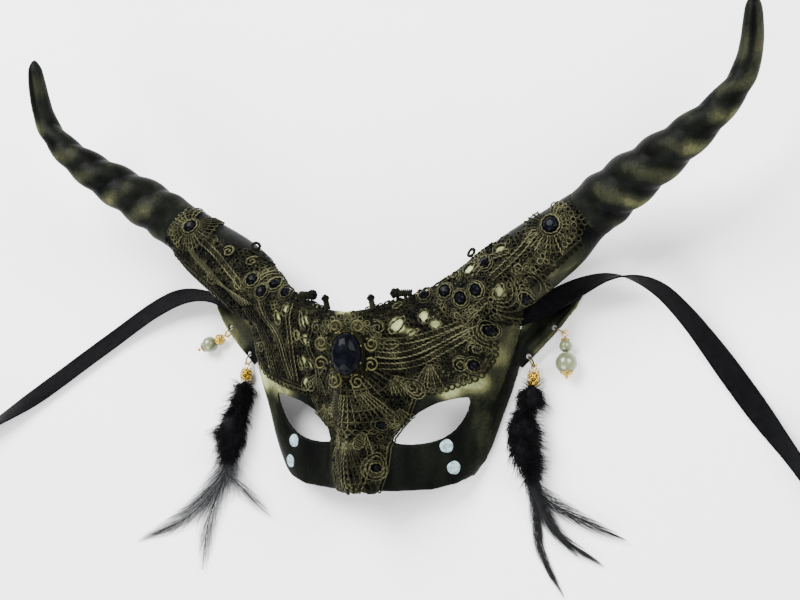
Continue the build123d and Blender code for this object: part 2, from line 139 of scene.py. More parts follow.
def carried_normals(path, first=None):
    """Normals that are carried along a path with no twist."""
    tangents = unit(np.gradient(path, axis=0))
    if first is None:
        first = UP if abs(tangents[0][2]) < 0.9 else np.array([1.0, 0, 0])
    normal = unit(first - tangents[0] * np.dot(first, tangents[0]))
    normals = [normal]
    for tangent in tangents[1:]:
        normal = unit(normal - tangent * np.dot(normal, tangent))
        normals.append(normal)
    return np.array(normals)


STRAND_RELIEF = 0.17                # of a twisted cord, as a share of its radius


class Cords:
    """Many round cords and beads gathered into one mesh."""

    def __init__(self, sides=6):
        self.sides = sides
        self.points = []
        self.faces = []
        self.wear_and_painted_light = []
        self.count = 0

    def store(self, points, faces, wear_and_painted_light):
        self.points.append(points)
        self.faces += [[index + self.count for index in face] for face in faces]
        self.wear_and_painted_light.append(wear_and_painted_light)
        self.count += len(points)

    def tube(self, path, radius, normals=None, closed=False, pitch=0.0, gilt_and_painted_light=1.0):
        """One cord. pitch is that of its two twisted strands, or zero for a plain cord."""
        path = np.asarray(path, float)
        total = len(path)
        if total < 3:
            return
        if closed:
            tangents = unit(np.roll(path, -1, 0) - np.roll(path, 1, 0))
        else:
            tangents = unit(np.gradient(path, axis=0))
        if normals is None:
            normals = carried_normals(path)
        across = unit(normals - tangents * np.sum(normals * tangents, 1, keepdims=True))
        beside = np.cross(tangents, across)
        angles = 2 * math.pi * np.arange(self.sides) / self.sides
        along = distances(path)
        swell = np.ones((total, self.sides))
        if pitch:
            swell += STRAND_RELIEF * np.cos(2 * angles[None] - 2 * math.pi * along[:, None] / pitch)
        ring = (np.cos(angles)[None, :, None] * across[:, None]
                + np.sin(angles)[None, :, None] * beside[:, None])
        size = (np.broadcast_to(radius, total)[:, None] * swell)[..., None]
        points = (path[:, None] + ring * size).reshape(-1, 3)
        high = np.clip(np.cos(angles)[None] * 0.75 + (swell - 1) * 1.6 + 0.25, 0, 1)
        wear_and_painted_light = (gilt_and_painted_light * high).reshape(-1)
        self.store(points, tube_faces(total, self.sides, closed), wear_and_painted_light)

    def bead(self, centre, radius, normal=UP, flat=1.0, gilt_and_painted_light=1.0):
        """A small knot or grain, flattened along its normal."""
        normal = unit(normal)
        side = unit(np.cross(normal, [0.31, 0.87, 0.38]))
        other = np.cross(normal, side)
        points = [centre + normal * radius * flat]
        rings = (0.35, 0.5, 0.65)
        around = 7
        for ring in rings:
            polar = math.pi * ring
            for index in range(around):
                angle = 2 * math.pi * index / around
                way = side * math.cos(angle) + other * math.sin(angle)
                points.append(centre + normal * radius * flat * math.cos(polar)
                              + way * radius * math.sin(polar))
        points.append(centre - normal * radius * flat)
        faces = [(0, 1 + index, 1 + (index + 1) % around) for index in range(around)]
        for row in range(len(rings) - 1):
            low = 1 + row * around
            for index in range(around):
                turn = (index + 1) % around
                faces.append((low + index, low + around + index,
                              low + around + turn, low + turn))
        last = 1 + (len(rings) - 1) * around
        faces += [(last + index, len(points) - 1, last + (index + 1) % around)
                  for index in range(around)]
        points = np.array(points)
        high = np.clip((points - centre) @ normal / (radius * flat) * 0.7 + 0.3, 0, 1)
        self.store(points, faces, high * gilt_and_painted_light)

    def piece(self, name, material):
        return make_mesh(name, np.vstack(self.points), self.faces, material,
                         np.concatenate(self.wear_and_painted_light))


# ---- materials ----------------------------------------------------------------------------
class Paint:
    """A procedural material with short calls for its nodes."""

    def __init__(self, name, roughness=0.5, metallic=0.0, **sockets):
        self.material = bpy.data.materials.new(name)
        self.material.use_nodes = True
        self.nodes = self.material.node_tree.nodes
        self.links = self.material.node_tree.links
        self.shader = self.nodes["Principled BSDF"]
        self.shader.inputs["Roughness"].default_value = roughness
        self.shader.inputs["Metallic"].default_value = metallic
        for socket, value in sockets.items():
            self.shader.inputs[socket.replace("_", " ")].default_value = value
        self.place = self.nodes.new("ShaderNodeTexCoord").outputs["Object"]

    def node(self, kind, **inputs):
        made = self.nodes.new(kind)
        for name, value in inputs.items():
            self.plug(made.inputs[name.replace("_", " ")], value)
        return made

    def plug(self, socket, value):
        if isinstance(value, bpy.types.NodeSocket):
            self.links.new(value, socket)
        else:
            socket.default_value = value

    def noise(self, scale, detail=3.0, stretch=None):
        """Cloudy value from 0 to 1, its scale in features per millimetre."""
        place = self.place
        if stretch:
            mapping = self.node("ShaderNodeMapping", Vector=place)
            mapping.inputs["Scale"].default_value = stretch
            place = mapping.outputs["Vector"]
        made = self.node("ShaderNodeTexNoise", Vector=place, Scale=scale / MM, Detail=detail)
        return made.outputs["Fac"]

    def attribute(self, name):
        made = self.nodes.new("ShaderNodeAttribute")
        made.attribute_name = name
        return made.outputs["Fac"]

    def math(self, operation, first, second=0.0):
        made = self.nodes.new("ShaderNodeMath")
        made.operation = operation
        self.plug(made.inputs[0], first)
        self.plug(made.inputs[1], second)
        return made.outputs[0]

    def scaled(self, value, factor, shift):
        """The value times a factor, plus a shift."""
        made = self.math("MULTIPLY_ADD", value, factor)
        made.node.inputs[2].default_value = shift
        return made

    def ramp(self, value, *stops):
        """Colours by value: each stop is a place from 0 to 1 and a colour."""
        made = self.node("ShaderNodeValToRGB", Fac=value)
        band = made.color_ramp
        while len(band.elements) < len(stops):
            band.elements.new(0.5)
        for element, (place, colour) in zip(band.elements, stops):
            element.position = place
            element.color = (*colour, 1)
        return made.outputs["Color"]

    def colour(self, value):
        self.links.new(value, self.shader.inputs["Base Color"])

    def rough(self, value, low, high):
        made = self.node("ShaderNodeMapRange", Value=value)
        made.inputs["To Min"].default_value = low
        made.inputs["To Max"].default_value = high
        self.links.new(made.outputs["Result"], self.shader.inputs["Roughness"])

    def bump(self, value, depth):
        """Fine relief, its depth in millimetres."""
        made = self.node("ShaderNodeBump", Height=value, Distance=depth * MM)
        self.links.new(made.outputs["Normal"], self.shader.inputs["Normal"])


BLACK = (0.0008, 0.001, 0.0009)
SOFT_BLACK = (0.0034, 0.0041, 0.0029)
OLIVE = (0.019, 0.020, 0.011)
OLIVE_GOLD = (0.080, 0.083, 0.036)
PALE_GOLD = (0.33, 0.37, 0.17)


def moulded_paint():
    """Black moulding with olive gold brushed over it, pale where it was rubbed most; on the horns
    also paler as painted highlight and darker as painted shade.
    """
    paint = Paint("brushed_moulding_and_painted_light", roughness=0.5, Specular_IOR_Level=0.03)
    streaks = paint.noise(0.12, 5, stretch=(1.0, 0.35, 1.0))
    grain = paint.noise(0.9, 3)
    cover = paint.scaled(streaks, 0.55, -0.28)
    fine = paint.scaled(grain, 0.2, -0.1)
    amount = paint.math("ADD", paint.attribute("wear_and_painted_light"), paint.math("ADD", cover, fine))
    paint.colour(paint.ramp(amount, (0.08, BLACK), (0.3, SOFT_BLACK), (0.5, OLIVE),
                            (0.72, OLIVE_GOLD), (1.0, PALE_GOLD)))
    paint.rough(amount, 0.44, 0.6)
    paint.bump(paint.noise(0.6, 4), 0.25)
    return paint.material


def lace_paint():
    """Black cord rubbed with bronze gold on its upper side."""
    paint = Paint("guipure_cord", roughness=0.6, Specular_IOR_Level=0.04)
    patches = paint.noise(0.1, 3)
    thread = paint.noise(2.2, 2)
    shift = paint.scaled(patches, 0.9, -0.5)
    fine = paint.scaled(thread, 0.5, -0.25)
    amount = paint.math("ADD", paint.attribute("wear_and_painted_light"), paint.math("ADD", shift, fine))
    paint.colour(paint.ramp(amount, (0.25, (0.0012, 0.0013, 0.001)),
                            (0.55, (0.0065, 0.0066, 0.003)), (0.8, (0.022, 0.022, 0.0105)),
                            (1.0, (0.064, 0.065, 0.032))))
    paint.rough(amount, 0.7, 0.42)
    paint.bump(thread, 0.12)
    return paint.material


def wire_paint(name, dark, bright, roughness):
    """Metal wire with dark hollows."""
    paint = Paint(name, roughness=roughness, metallic=1.0)
    amount = paint.math("ADD", paint.attribute("wear_and_painted_light"),
                        paint.math("MULTIPLY", paint.noise(1.4, 3), 0.35))
    paint.colour(paint.ramp(amount, (0.15, dark), (0.75, bright)))
    paint.rough(paint.noise(0.8, 3), roughness * 0.8, roughness * 1.5)
    paint.bump(paint.noise(2.5, 2), 0.03)
    return paint.material


def stone_paint():
    """Polished black stone with faint clouds under the polish."""
    paint = Paint("black_cut_stone", roughness=0.16, Specular_IOR_Level=0.025)
    paint.colour(paint.ramp(paint.noise(0.25, 2), (0.35, (0.0012, 0.0013, 0.0018)),
                            (0.7, (0.003, 0.0035, 0.0055))))
    paint.rough(paint.noise(1.5, 2), 0.1, 0.2)
    return paint.material


def enamel_paint():
    """Pale blue-grey enamel, thin and darker in spots."""
    paint = Paint("pale_enamel", roughness=0.4, Coat_Weight=0.1, Coat_Roughness=0.2)
    paint.colour(paint.ramp(paint.noise(0.55, 4), (0.38, (0.09, 0.15, 0.165)),
                            (0.5, (0.18, 0.265, 0.28)), (0.62, (0.27, 0.36, 0.375))))
    paint.bump(paint.noise(0.8, 3), 0.12)
    return paint.material


def pearl_paint():
    """Pearl lustre with a slow change from cream to grey green."""
    paint = Paint("pearl_lustre", roughness=0.3, Coat_Weight=0.4, Coat_Roughness=0.08)
    paint.colour(paint.ramp(paint.noise(0.12, 2), (0.35, (0.078, 0.094, 0.048)),
                            (0.65, (0.14, 0.162, 0.084))))
    paint.bump(paint.noise(0.5, 2), 0.02)
    return paint.material


def fur_paint():
    paint = Paint("black_fur", roughness=0.6, Specular_IOR_Level=0.06)
    paint.colour(paint.ramp(paint.noise(1.2, 2), (0.3, (0.001, 0.001, 0.0014)),
                            (0.8, (0.0045, 0.0046, 0.006))))
    return paint.material


def feather_paint():
    """Black shafts and barbs that pale to grey where their wear_and_painted_light value is high."""
    paint = Paint("hackle_barbs", roughness=0.5, Specular_IOR_Level=0.1)
    amount = paint.math("ADD", paint.attribute("wear_and_painted_light"),
                        paint.math("MULTIPLY", paint.noise(0.5, 2), 0.2))
    paint.colour(paint.ramp(amount, (0.15, (0.003, 0.003, 0.0035)), (0.6, (0.02, 0.021, 0.023)),
                            (1.0, (0.11, 0.115, 0.12))))
    return paint.material


def satin_paint():
    """Black satin: fine warp threads that run along the ribbon, as a wave across its width."""
    thread_wave = 210.0
    paint = Paint("black_satin", roughness=0.5, Specular_IOR_Level=0.02)
    threads = paint.math("SINE", paint.math("MULTIPLY", paint.attribute("across"), thread_wave))
    paint.colour(paint.ramp(paint.noise(0.3, 3), (0.3, (0.0015, 0.0015, 0.0018)),
                            (0.7, (0.0032, 0.0032, 0.004))))
    paint.rough(paint.noise(0.9, 3), 0.42, 0.55)
    paint.bump(threads, 0.03)
    return paint.material


moulding = moulded_paint()
guipure = lace_paint()
antique = wire_paint("antique_brass_wire", (0.003, 0.003, 0.0013), (0.058, 0.055, 0.024), 0.42)
dark_wire = wire_paint("aged_ring_wire", (0.02, 0.014, 0.005), (0.16, 0.115, 0.045), 0.3)
gold = wire_paint("bright_gold_wire", (0.10, 0.055, 0.004), (0.66, 0.43, 0.05), 0.24)
black_stone = stone_paint()
enamel = enamel_paint()
pearl_lustre = pearl_paint()
fur = fur_paint()
barbs = feather_paint()
satin = satin_paint()


# ---- camera, light and floor ----------------------------------------------------------------
CAMERA_PLACE = (250.7, -88.8, 599.4)
LENS, SENSOR = 59.17, 36.0
KEY_POWER, FILL_POWER, FRONT_POWER = 85, 40, 36
WORLD_STRENGTH = 0.45
FLOOR_HALF = 4000.0
FLOOR_GAP = 0.3                     # the floor lies this far under the mask


def make_camera():
    """It looks down at the face from about 22 degrees to its right."""
    right = Vector((0.92715, 0.05199, -0.37106))
    upward = Vector((0.00773, 0.98746, 0.15766))
    back = Vector((0.37461, -0.14904, 0.91513))
    data = bpy.data.cameras.new("camera")
    data.lens = LENS
    data.sensor_width = SENSOR
    data.clip_end = 10.0
    camera = bpy.data.objects.new("camera", data)
    turn = Matrix((right, upward, back)).transposed().to_4x4()
    camera.matrix_world = Matrix.Translation(Vector(CAMERA_PLACE) * MM) @ turn
    bpy.context.scene.collection.objects.link(camera)
    bpy.context.scene.camera = camera


def area_light(name, place, size, power):
    """A soft light that faces the origin, its place and size in metres."""
    data = bpy.data.lights.new(name, "AREA")
    data.size = size
    data.energy = power
    light = bpy.data.objects.new(name, data)
    light.location = place
    light.rotation_mode = "QUATERNION"
    light.rotation_quaternion = (-Vector(place)).to_track_quat("-Z", "Y")
    bpy.context.scene.collection.objects.link(light)


def make_studio():
    area_light("key_light", (-0.55, 0.75, 1.2), 0.9, KEY_POWER)
    area_light("fill_light", (1.1, 0.5, 0.9), 0.8, FILL_POWER)
    area_light("front_light", (-0.3, -1.2, 0.8), 0.9, FRONT_POWER)
    world = bpy.data.worlds.new("studio")
    world.use_nodes = True
    background = world.node_tree.nodes["Background"]
    background.inputs["Color"].default_value = (1, 1, 1, 1)
    background.inputs["Strength"].default_value = WORLD_STRENGTH
    bpy.context.scene.world = world
    corners = [(x * FLOOR_HALF, y * FLOOR_HALF, -FLOOR_GAP)
               for x, y in ((-1, -1), (1, -1), (1, 1), (-1, 1))]
    paint = Paint("pale_floor", roughness=0.9)
    paint.colour(paint.ramp(paint.noise(0.002, 2), (0.2, (0.86, 0.86, 0.86)),
                            (0.8, (0.9, 0.9, 0.9))))
    floor = make_mesh("floor", corners, [(0, 1, 2, 3)], paint.material, smooth=False)


make_camera()
make_studio()

# ---- ribbons --------------------------------------------------------------------------------
# Each ribbon comes out over an ear, arches to the floor, and ends in a loose round coil that
# stands on its edge. These are the points of the ribbon's route in the design.
right_route = [
    (66, -1, 6.9), (80, 3.0, 7.7), (98, 12.2, 11.0), (117, 17.8, 14.0), (135, 13.3, 12.0),
    (148.5, -0.5, 7.4), (159.5, -15, 3.0), (170, -29.5, 1.3), (181, -44.5, 0.9),
    (193.5, -61, 0.9), (206.5, -78.5, 1.2), (219.5, -94.5, 3.0),
]
left_route = [
    (-66, -1, 6.9), (-80, 2.6, 7.7), (-97, 10.2, 9.6), (-115, 10.8, 9.0), (-132, 4.4, 6.2),
    (-149, -5.0, 3.0), (-166, -16, 1.4), (-183, -27.5, 0.9), (-201, -39.8, 0.8),
    (-218, -50.8, 0.9), (-234, -60.8, 0.9), (-249, -70.5, 1.1), (-262, -79.2, 1.9),
    (-272, -85.0, 3.2),
]
# how far each ribbon leans over on its edge: distance along it, degrees
right_lean = [
    (0, 0), (28, -12), (44, -42), (57, -78), (66, -106), (77, -129), (104, -147), (124, -170),
    (138, -172), (168, -131), (208, -129), (234, -90), (900, -90),
]
left_lean = [
    (0, 60), (15, 68), (31, 70), (42, 46), (56, 20), (150, 16), (162, 20), (188, 50), (226, 50),
    (258, 90), (900, 90),
]
RIBBON_WIDTH = 11.0
RIBBON_THICKNESS = 0.55
RIBBON_STEP = 1.5                   # from one row of points to the next
RIBBON_COLUMNS = 8                  # strips across each of its two faces
SELVEDGE = 0.12                     # how much thicker each edge is
RIGHT_COIL, LEFT_COIL = (264.5, -58.0), (-301.0, -36.0)
COIL_HEIGHT = 5.8                   # of the ribbon's middle line in the coil
COIL_OUTER, COIL_INNER = 56.6, 53.2
TURN_POINTS = 16


def coil_points(centre, start_angle, turns, way):
    """The coil as more points of the ribbon's own line; way is 1 for counter-clockwise."""
    points = []
    count = int(round(turns * TURN_POINTS))
    for index in range(1, count + 1):
        part = index / count
        angle = math.radians(start_angle) + way * 2 * math.pi * turns * part
        radius = COIL_OUTER + (COIL_INNER - COIL_OUTER) * part
        points.append((centre[0] + radius * math.cos(angle),
                       centre[1] + radius * math.sin(angle), COIL_HEIGHT))
    return points


def spline_points(route):
    """Points along the smooth line that has the route as its control points."""
    data = bpy.data.curves.new("route", "CURVE")
    data.dimensions = "3D"
    data.resolution_u = 10
    spline = data.splines.new("NURBS")
    spline.points.add(len(route) - 1)
    for point, place in zip(spline.points, route):
        point.co = (*[value * MM for value in place], 1)
    spline.order_u = 3
    spline.use_endpoint_u = True
    holder = bpy.data.objects.new("route", data)
    mesh = bpy.data.meshes.new_from_object(holder)
    points = np.array([vertex.co for vertex in mesh.vertices]) / MM
    bpy.data.objects.remove(holder)
    bpy.data.curves.remove(data)
    return points


def evened(values, spread):
    """The values, each one averaged with its neighbours."""
    window = np.hanning(2 * spread + 3)[1:-1]
    return np.convolve(np.pad(values, spread, mode="edge"), window / window.sum(), "valid")


def ribbon(name, route, coil, nodes, lean):
    """A satin band along the route and its coil, no lower than the floor where it leans."""
    path = resample(spline_points(route + coil), RIBBON_STEP)
    along = distances(path)
    tangents = unit(np.gradient(path, axis=0))
    level = unit(np.cross(UP, tangents))
    upright = np.cross(tangents, level)
    angle = np.radians(evened(np.interp(along, *zip(*lean)), 7))
    across = level * np.cos(angle)[:, None] + upright * np.sin(angle)[:, None]
    normal = np.cross(tangents, across)
    edge_height = RIBBON_WIDTH / 2 * np.abs(across[:, 2]) + RIBBON_THICKNESS * 0.8
    short = np.maximum(edge_height - path[:, 2], 0)
    middle = path + UP * np.maximum(evened(short, 6), short)[:, None]
    points = []
    shares = []
    for row, place in enumerate(middle):
        for face in (1, -1):
            for index in range(RIBBON_COLUMNS + 1):
                share = (index / RIBBON_COLUMNS - 0.5) * 2 * face
                cup = 0.25 * (1 - share**2) * math.sin(0.05 * along[row])
                selvedge = SELVEDGE if abs(share) > 0.8 else 0.0
                lift = face * (RIBBON_THICKNESS / 2 + selvedge) + cup
                points.append(place + across[row] * share * RIBBON_WIDTH / 2
                              + normal[row] * lift)
                shares.append(share)
    piece = make_mesh(name, points, tube_faces(len(path), 2 * (RIBBON_COLUMNS + 1)), satin)
    layer = piece.data.attributes.new("across", "FLOAT", "POINT")
    layer.data.foreach_set("value", np.array(shares, np.float32))
    settle(piece, "root", "satin", *nodes)


ribbon("right_satin_ribbon", right_route, coil_points(RIGHT_COIL, 220, 1.13, 1),
       ("right_ribbon", "right_ribbon_coil"), right_lean)
ribbon("left_satin_ribbon", left_route, coil_points(LEFT_COIL, 299, 1.06, -1),
       ("left_ribbon", "left_ribbon_coil"), left_lean)


def coil_tie(name, centre, angle):
    """A narrow strip tied round the turns that lie together."""
    turn = math.radians(angle)
    out = np.array([math.cos(turn), math.sin(turn), 0.0])
    along = np.array([-math.sin(turn), math.cos(turn), 0.0])
    middle = np.array([*centre, COIL_HEIGHT]) + out * (COIL_OUTER + COIL_INNER) / 2
    cords = Cords(8)
    for shift in (-1.6, -0.8, 0, 0.8, 1.6):
        ring = []
        for step in range(24):
            wave = 2 * math.pi * step / 24
            ring.append(middle + along * shift + out * 3.0 * math.cos(wave)
                        + UP * 5.45 * math.sin(wave))
        ring = np.array(ring)
        cords.tube(ring, 0.3, unit(ring - middle), closed=True, gilt_and_painted_light=0.0)
    cords.bead(middle + out * 3.6 + UP * 1.0, 1.3, out, gilt_and_painted_light=0.0)
    return cords.piece(name, satin)


# ---- the moulded shell ------------------------------------------------------------------------
def smooth_copy(node, voxel, rounds):
    """A remeshed copy of a CAD node with its sharp edges rounded; points in millimetres."""
    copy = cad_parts[node].copy()
    copy.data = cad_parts[node].data.copy()
    copy.parent = None
    bpy.context.scene.collection.objects.link(copy)
    remesh = copy.modifiers.new("remesh", "REMESH")
    remesh.mode = "VOXEL"
    remesh.voxel_size = voxel * MM
    smooth = copy.modifiers.new("smooth", "SMOOTH")
    smooth.factor = 0.5
    smooth.iterations = rounds
    graph = bpy.context.evaluated_depsgraph_get()
    mesh = bpy.data.meshes.new_from_object(copy.evaluated_get(graph))
    bpy.data.objects.remove(copy)
    points = np.zeros(len(mesh.vertices) * 3)
    mesh.vertices.foreach_get("co", points)
    normals = np.zeros(len(mesh.vertices) * 3)
    mesh.vertices.foreach_get("normal", normals)
    faces = [tuple(polygon.vertices) for polygon in mesh.polygons]
    bpy.data.meshes.remove(mesh)
    return points.reshape(-1, 3) / MM, normals.reshape(-1, 3), faces


def bell(value, middle, width):
    """1 at the middle, and less than half of it one width away."""
    return np.exp(-(((value - middle) / width) ** 2))


def step_up(value, low, high):
    """0 below low, 1 above high, and a smooth rise between them."""
    part = np.clip((value - low) / (high - low), 0, 1)
    return part * part * (3 - 2 * part)


ear_line = np.array([(66.0, -20.6), (74.4, -12.0), (81.0, -5.5), (87.5, 1.0), (93.5, 6.3),
                     (98.2, 10.6)])
ear_widths = np.array([7.2, 6.9, 6.6, 5.4, 3.4, 0.9])


def ear_shares(points):
    """For each point: 1 on the ear and 0 off it, and its place across the ear, -1 to 1."""
    flat = np.stack([np.abs(points[:, 0]), points[:, 1]], 1)
    way = unit(ear_line[-1] - ear_line[0])
    side = np.array([way[1], -way[0]])
    start = ear_line[0]
    along = (flat - start) @ way
    runs = (ear_line - start) @ way
    width = np.interp(along, runs, ear_widths)
    centre = np.interp(along, runs, (ear_line - start) @ side)
    across = ((flat - start) @ side - centre) / width
    on_ear = step_up(along, 6, 12) * (points[:, 2] < 9) * (np.abs(across) < 1.25)
    return on_ear, across


# places on the shell that are rubbed most: x, y, size, strength
pale_patches = [
    (23.4, -10.2, 3.6, 0.75), (34.9, -5.6, 3.4, 0.7), (39.2, -8.5, 3.2, 0.6),
    (29.6, -13.6, 3.0, 0.5), (20.3, -18.6, 3.4, 0.3), (23.1, -1.4, 3.0, 0.35),
    (42.0, -36.0, 8.0, 0.46), (54.0, -33.0, 6.0, 0.34), (54.6, 16.9, 4.4, 0.5),
    (69.1, 25.2, 4.4, 0.5), (69.1, 6.6, 4.2, 0.45), (90.3, 22.2, 5.0, 0.2),
    (60.4, -20.3, 6.0, 0.22), (-40.5, -5.4, 3.2, 0.5), (-35.3, -2.4, 3.2, 0.5),
    (-28.4, -14.5, 3.0, 0.4), (-23.0, -17.2, 3.4, 0.6), (-24.4, -8.8, 3.2, 0.5),
    (-29.0, -26.6, 3.0, 0.5), (-22.8, -27.5, 2.6, 0.4), (-28.4, -35.9, 3.6, 0.6),
    (-50.6, -27.5, 3.0, 0.4), (-46.0, -39.0, 7.0, 0.36), (-57.0, -32.0, 7.0, 0.40),
    (0.0, -5.0, 5.0, 0.4), (-18.0, -2.5, 4.0, 0.3), (-64.4, 11.5, 3.6, 0.4),
]
arm_lower = [(60, -14), (66, -5), (83, 12), (95, 21), (105, 30)]      # lower edge of an arm


def make_shell():
    """The CAD shell with softened edges and rolled ears, and the gold rubbed where it shows."""
    points, normals, faces = smooth_copy("mask_shell", 0.8, 5)
    on_ear, across = ear_shares(points)
    up_facing = (normals[:, 2] > 0.2).astype(float)
    rolled = 1.3 * bell(np.abs(across), 0.9, 0.22) - 0.8 * bell(across, -0.15, 0.3)
    points[:, 2] += on_ear * up_facing * rolled
    x, y, z = points.T
    side = np.abs(x)
    outside = step_up(normals[:, 2], -0.1, 0.5)
    rubbed = np.full(len(points), 0.20)
    rubbed += 0.14 * step_up(y, -47, -38) * step_up(66 - side, 0, 8)
    band = step_up(np.interp(side, *zip(*arm_lower)) - y, -3, 4) * step_up(side, 58, 66)
    rubbed += 0.24 * band * (z > 10)
    for patch_x, patch_y, size, strength in pale_patches:
        rubbed += outside * 1.25 * strength * np.exp(
            -(((x - patch_x) ** 2 + (y - patch_y) ** 2) / size**2) ** 2)
    rim = bell(np.abs(across), 0.95, 0.25)
    rubbed += on_ear * (0.06 + 0.14 * (x < 0) + 0.30 * rim + 0.12 * bell(across, 0.45, 0.2))
    cheeks = 1 - step_up(y, -50, -42)
    rubbed += cheeks * (0.14 * bell(side, 57, 7) - 0.05 * bell(side, 30, 14))
    rubbed += 0.10 * bell(side, 64, 5) * (z < 30) * (y < 0)
    cloud = np.array([noise.noise(Vector(p) * 0.05) for p in points])
    rubbed += 0.12 * cloud
    piece = make_mesh("moulded_shell", points, faces, moulding, rubbed)
    settle(piece, "root", "shell_paint", "mask_shell")
    return piece


shell = make_shell()

# ---- horns -------------------------------------------------------------------------------------
horn_stations = np.array([
    (107.5, 43.8, 27.5, 12.3), (119.9, 52, 32.5, 12.2), (134.7, 60.5, 38.5, 10.9),
    (148.5, 68.5, 44, 9.4), (160.5, 76.5, 48, 7.8), (169.7, 84.5, 50.5, 6.5),
    (176.2, 92.5, 52, 5.8), (179.8, 100.5, 53.5, 5.4), (181.6, 108.5, 55.6, 5.0),
    (182.4, 116.5, 58.2, 4.4), (182.7, 123, 60.3, 3.4), (182.8, 126.6, 61.4, 1.4),
])
RIDGE_SPACING = 17.5                # along the horn, near its base
RIDGE_DEPTH = 0.072                 # share of the radius
GROOVE_DEPTH = 0.13                 # of the one groove on the smooth tip
TWISTED_LENGTH = 104.0              # the rest of the horn is smooth
HORN_SIDES = 72


def make_horn(side, name, node):
    """A horn with two ridges that wind round it and fade out towards the tip."""
    line = curve_through(horn_stations, 0.6)
    path, radius = line[:, :3].copy(), line[:, 3]
    path[:, 0] *= side
    tangents = unit(np.gradient(path, axis=0))
    normals = carried_normals(path)
    beside = np.cross(tangents, normals)
    along = distances(path)
    angle = 2 * math.pi * np.arange(HORN_SIDES) / HORN_SIDES
    turns = along / RIDGE_SPACING
    phase = 2 * math.pi * (turns[:, None] - 0.36) - 2 * side * angle[None]
    ridge = 2 * (np.sin(phase / 2) ** 2 + 0.02) ** 0.62 - 1
    fade = step_up(along, 2, 12) * (1 - step_up(along, TWISTED_LENGTH - 18, TWISTED_LENGTH))
    size = 1 + RIDGE_DEPTH * fade[:, None] * ridge
    tip = step_up(along, TWISTED_LENGTH - 14, TWISTED_LENGTH)
    groove = np.exp(-((np.angle(np.exp(1j * (angle - side * 0.35))) / 0.28) ** 2))
    size -= GROOVE_DEPTH * tip[:, None] * groove[None] * step_up(along[-1] - along, 4, 16)[:, None]
    ring = (np.cos(angle)[None, :, None] * normals[:, None]
            + np.sin(angle)[None, :, None] * beside[:, None])
    points = (path[:, None] + ring * (radius[:, None] * size)[..., None]).reshape(-1, 3)
    # Painted highlight and painted shade: bright makes the lit side of each ridge paler and its
    # valleys darker, outer makes the horn's lit outer side paler, and the groove on the smooth tip
    # is painted darker.
    bright = np.clip(np.sin(phase - 1.9), -1, 1)
    outer = -ring[..., 1] * 0.75 - ring[..., 2] * 0.15 + ring[..., 0] * side * 0.25
    gilt_and_painted_light = 0.3 + fade[:, None] * (0.14 * bright + 0.11 * outer * (1 + bright))
    gilt_and_painted_light = gilt_and_painted_light + tip[:, None] * (0.06 + 0.1 * outer) - 0.3 * tip[:, None] * groove[None]
    gilt_and_painted_light = gilt_and_painted_light.reshape(-1)
    cloud = np.array([noise.noise(Vector(p) * 0.09) for p in points])
    gilt_and_painted_light += 0.14 * cloud
    faces = tube_faces(len(path), HORN_SIDES)[:-1]      # the tip is a point, not a cap
    end = path[-1] + tangents[-1] * radius[-1] * 0.6
    points = np.vstack([points, end])
    gilt_and_painted_light = np.append(gilt_and_painted_light, 0.3)
    last = (len(path) - 1) * HORN_SIDES
    for index in range(HORN_SIDES):
        faces.append((last + index, last + (index + 1) % HORN_SIDES, len(points) - 1))
    piece = make_mesh(name, points, faces, moulding, gilt_and_painted_light)
    settle(piece, "root", "horn_paint", node)


make_horn(1, "right_twisted_horn", "right_horn")
make_horn(-1, "left_twisted_horn", "left_horn")

# ---- lace -----------------------------------------------------------------------------------
STEP = 0.55                         # along the lace's cords
ABOVE_ALL = 200                     # a height over the whole mask
LOWEST_LACE = 11
STEEPEST = 0.08                     # upward share of the normal on the steepest place for lace
LARGEST_GAP = 2.5                   # that a cord may close at the mask's edge


class Skin:
    """The outside of the moulded mask, which the lace is laid on from above."""

    def __init__(self, piece):
        mesh = piece.data
        points = [vertex.co / MM for vertex in mesh.vertices]
        self.tree = BVHTree.FromPolygons(points, [tuple(p.vertices) for p in mesh.polygons])

    def spot(self, x, y):
        """Place and normal straight under a point, or None past the edge."""
        place, normal = self.tree.ray_cast(Vector((x, y, ABOVE_ALL)), Vector((0, 0, -1)))[:2]
        if place is None or place.z < LOWEST_LACE or normal.z < STEEPEST:
            return None
        return np.array(place), np.array(normal)

    def lay(self, flat, lift):
        """A flat path laid on the mask and lifted off it: its points and normals."""
        places, normals = [], []
        for x, y in flat:
            found = self.spot(x, y)
            if found is None:
                if not places:
                    continue
                place, way = self.tree.find_nearest(Vector((x, y, places[-1][2])))[:2]
                found = np.array(place), np.array(way)
                gap = np.hypot(found[0][0] - x, found[0][1] - y)
                if found[0][2] < LOWEST_LACE or gap > LARGEST_GAP:
                    break
            places.append(found[0])
            normals.append(found[1])
        if len(places) < 3:
            return None
        normals = np.array(normals)
        soft = normals.copy()
        soft[1:-1] = normals[:-2] + normals[1:-1] + normals[2:]
        soft = unit(soft)
        return np.array(places) + soft * lift, soft


skin = Skin(shell)


def turned(flat_x, flat_y, x, y, turn):
    """Flat points turned by an angle in radians, then moved to a centre."""
    c, s = math.cos(turn), math.sin(turn)
    return np.stack([x + c * flat_x - s * flat_y, y + s * flat_x + c * flat_y], 1)


def sideways(line):
    """The way to the right of each point of a flat line."""
    ways = unit(np.gradient(line, axis=0))
    return np.stack([ways[:, 1], -ways[:, 0]], 1)


def arc(x, y, radius, start, end):
    """Points on a circle, angles in degrees."""
    count = max(6, int(abs(math.radians(end - start)) * radius / STEP) + 1)
    angles = np.radians(np.linspace(start, end, count))
    return np.stack([x + radius * np.cos(angles), y + radius * np.sin(angles)], 1)


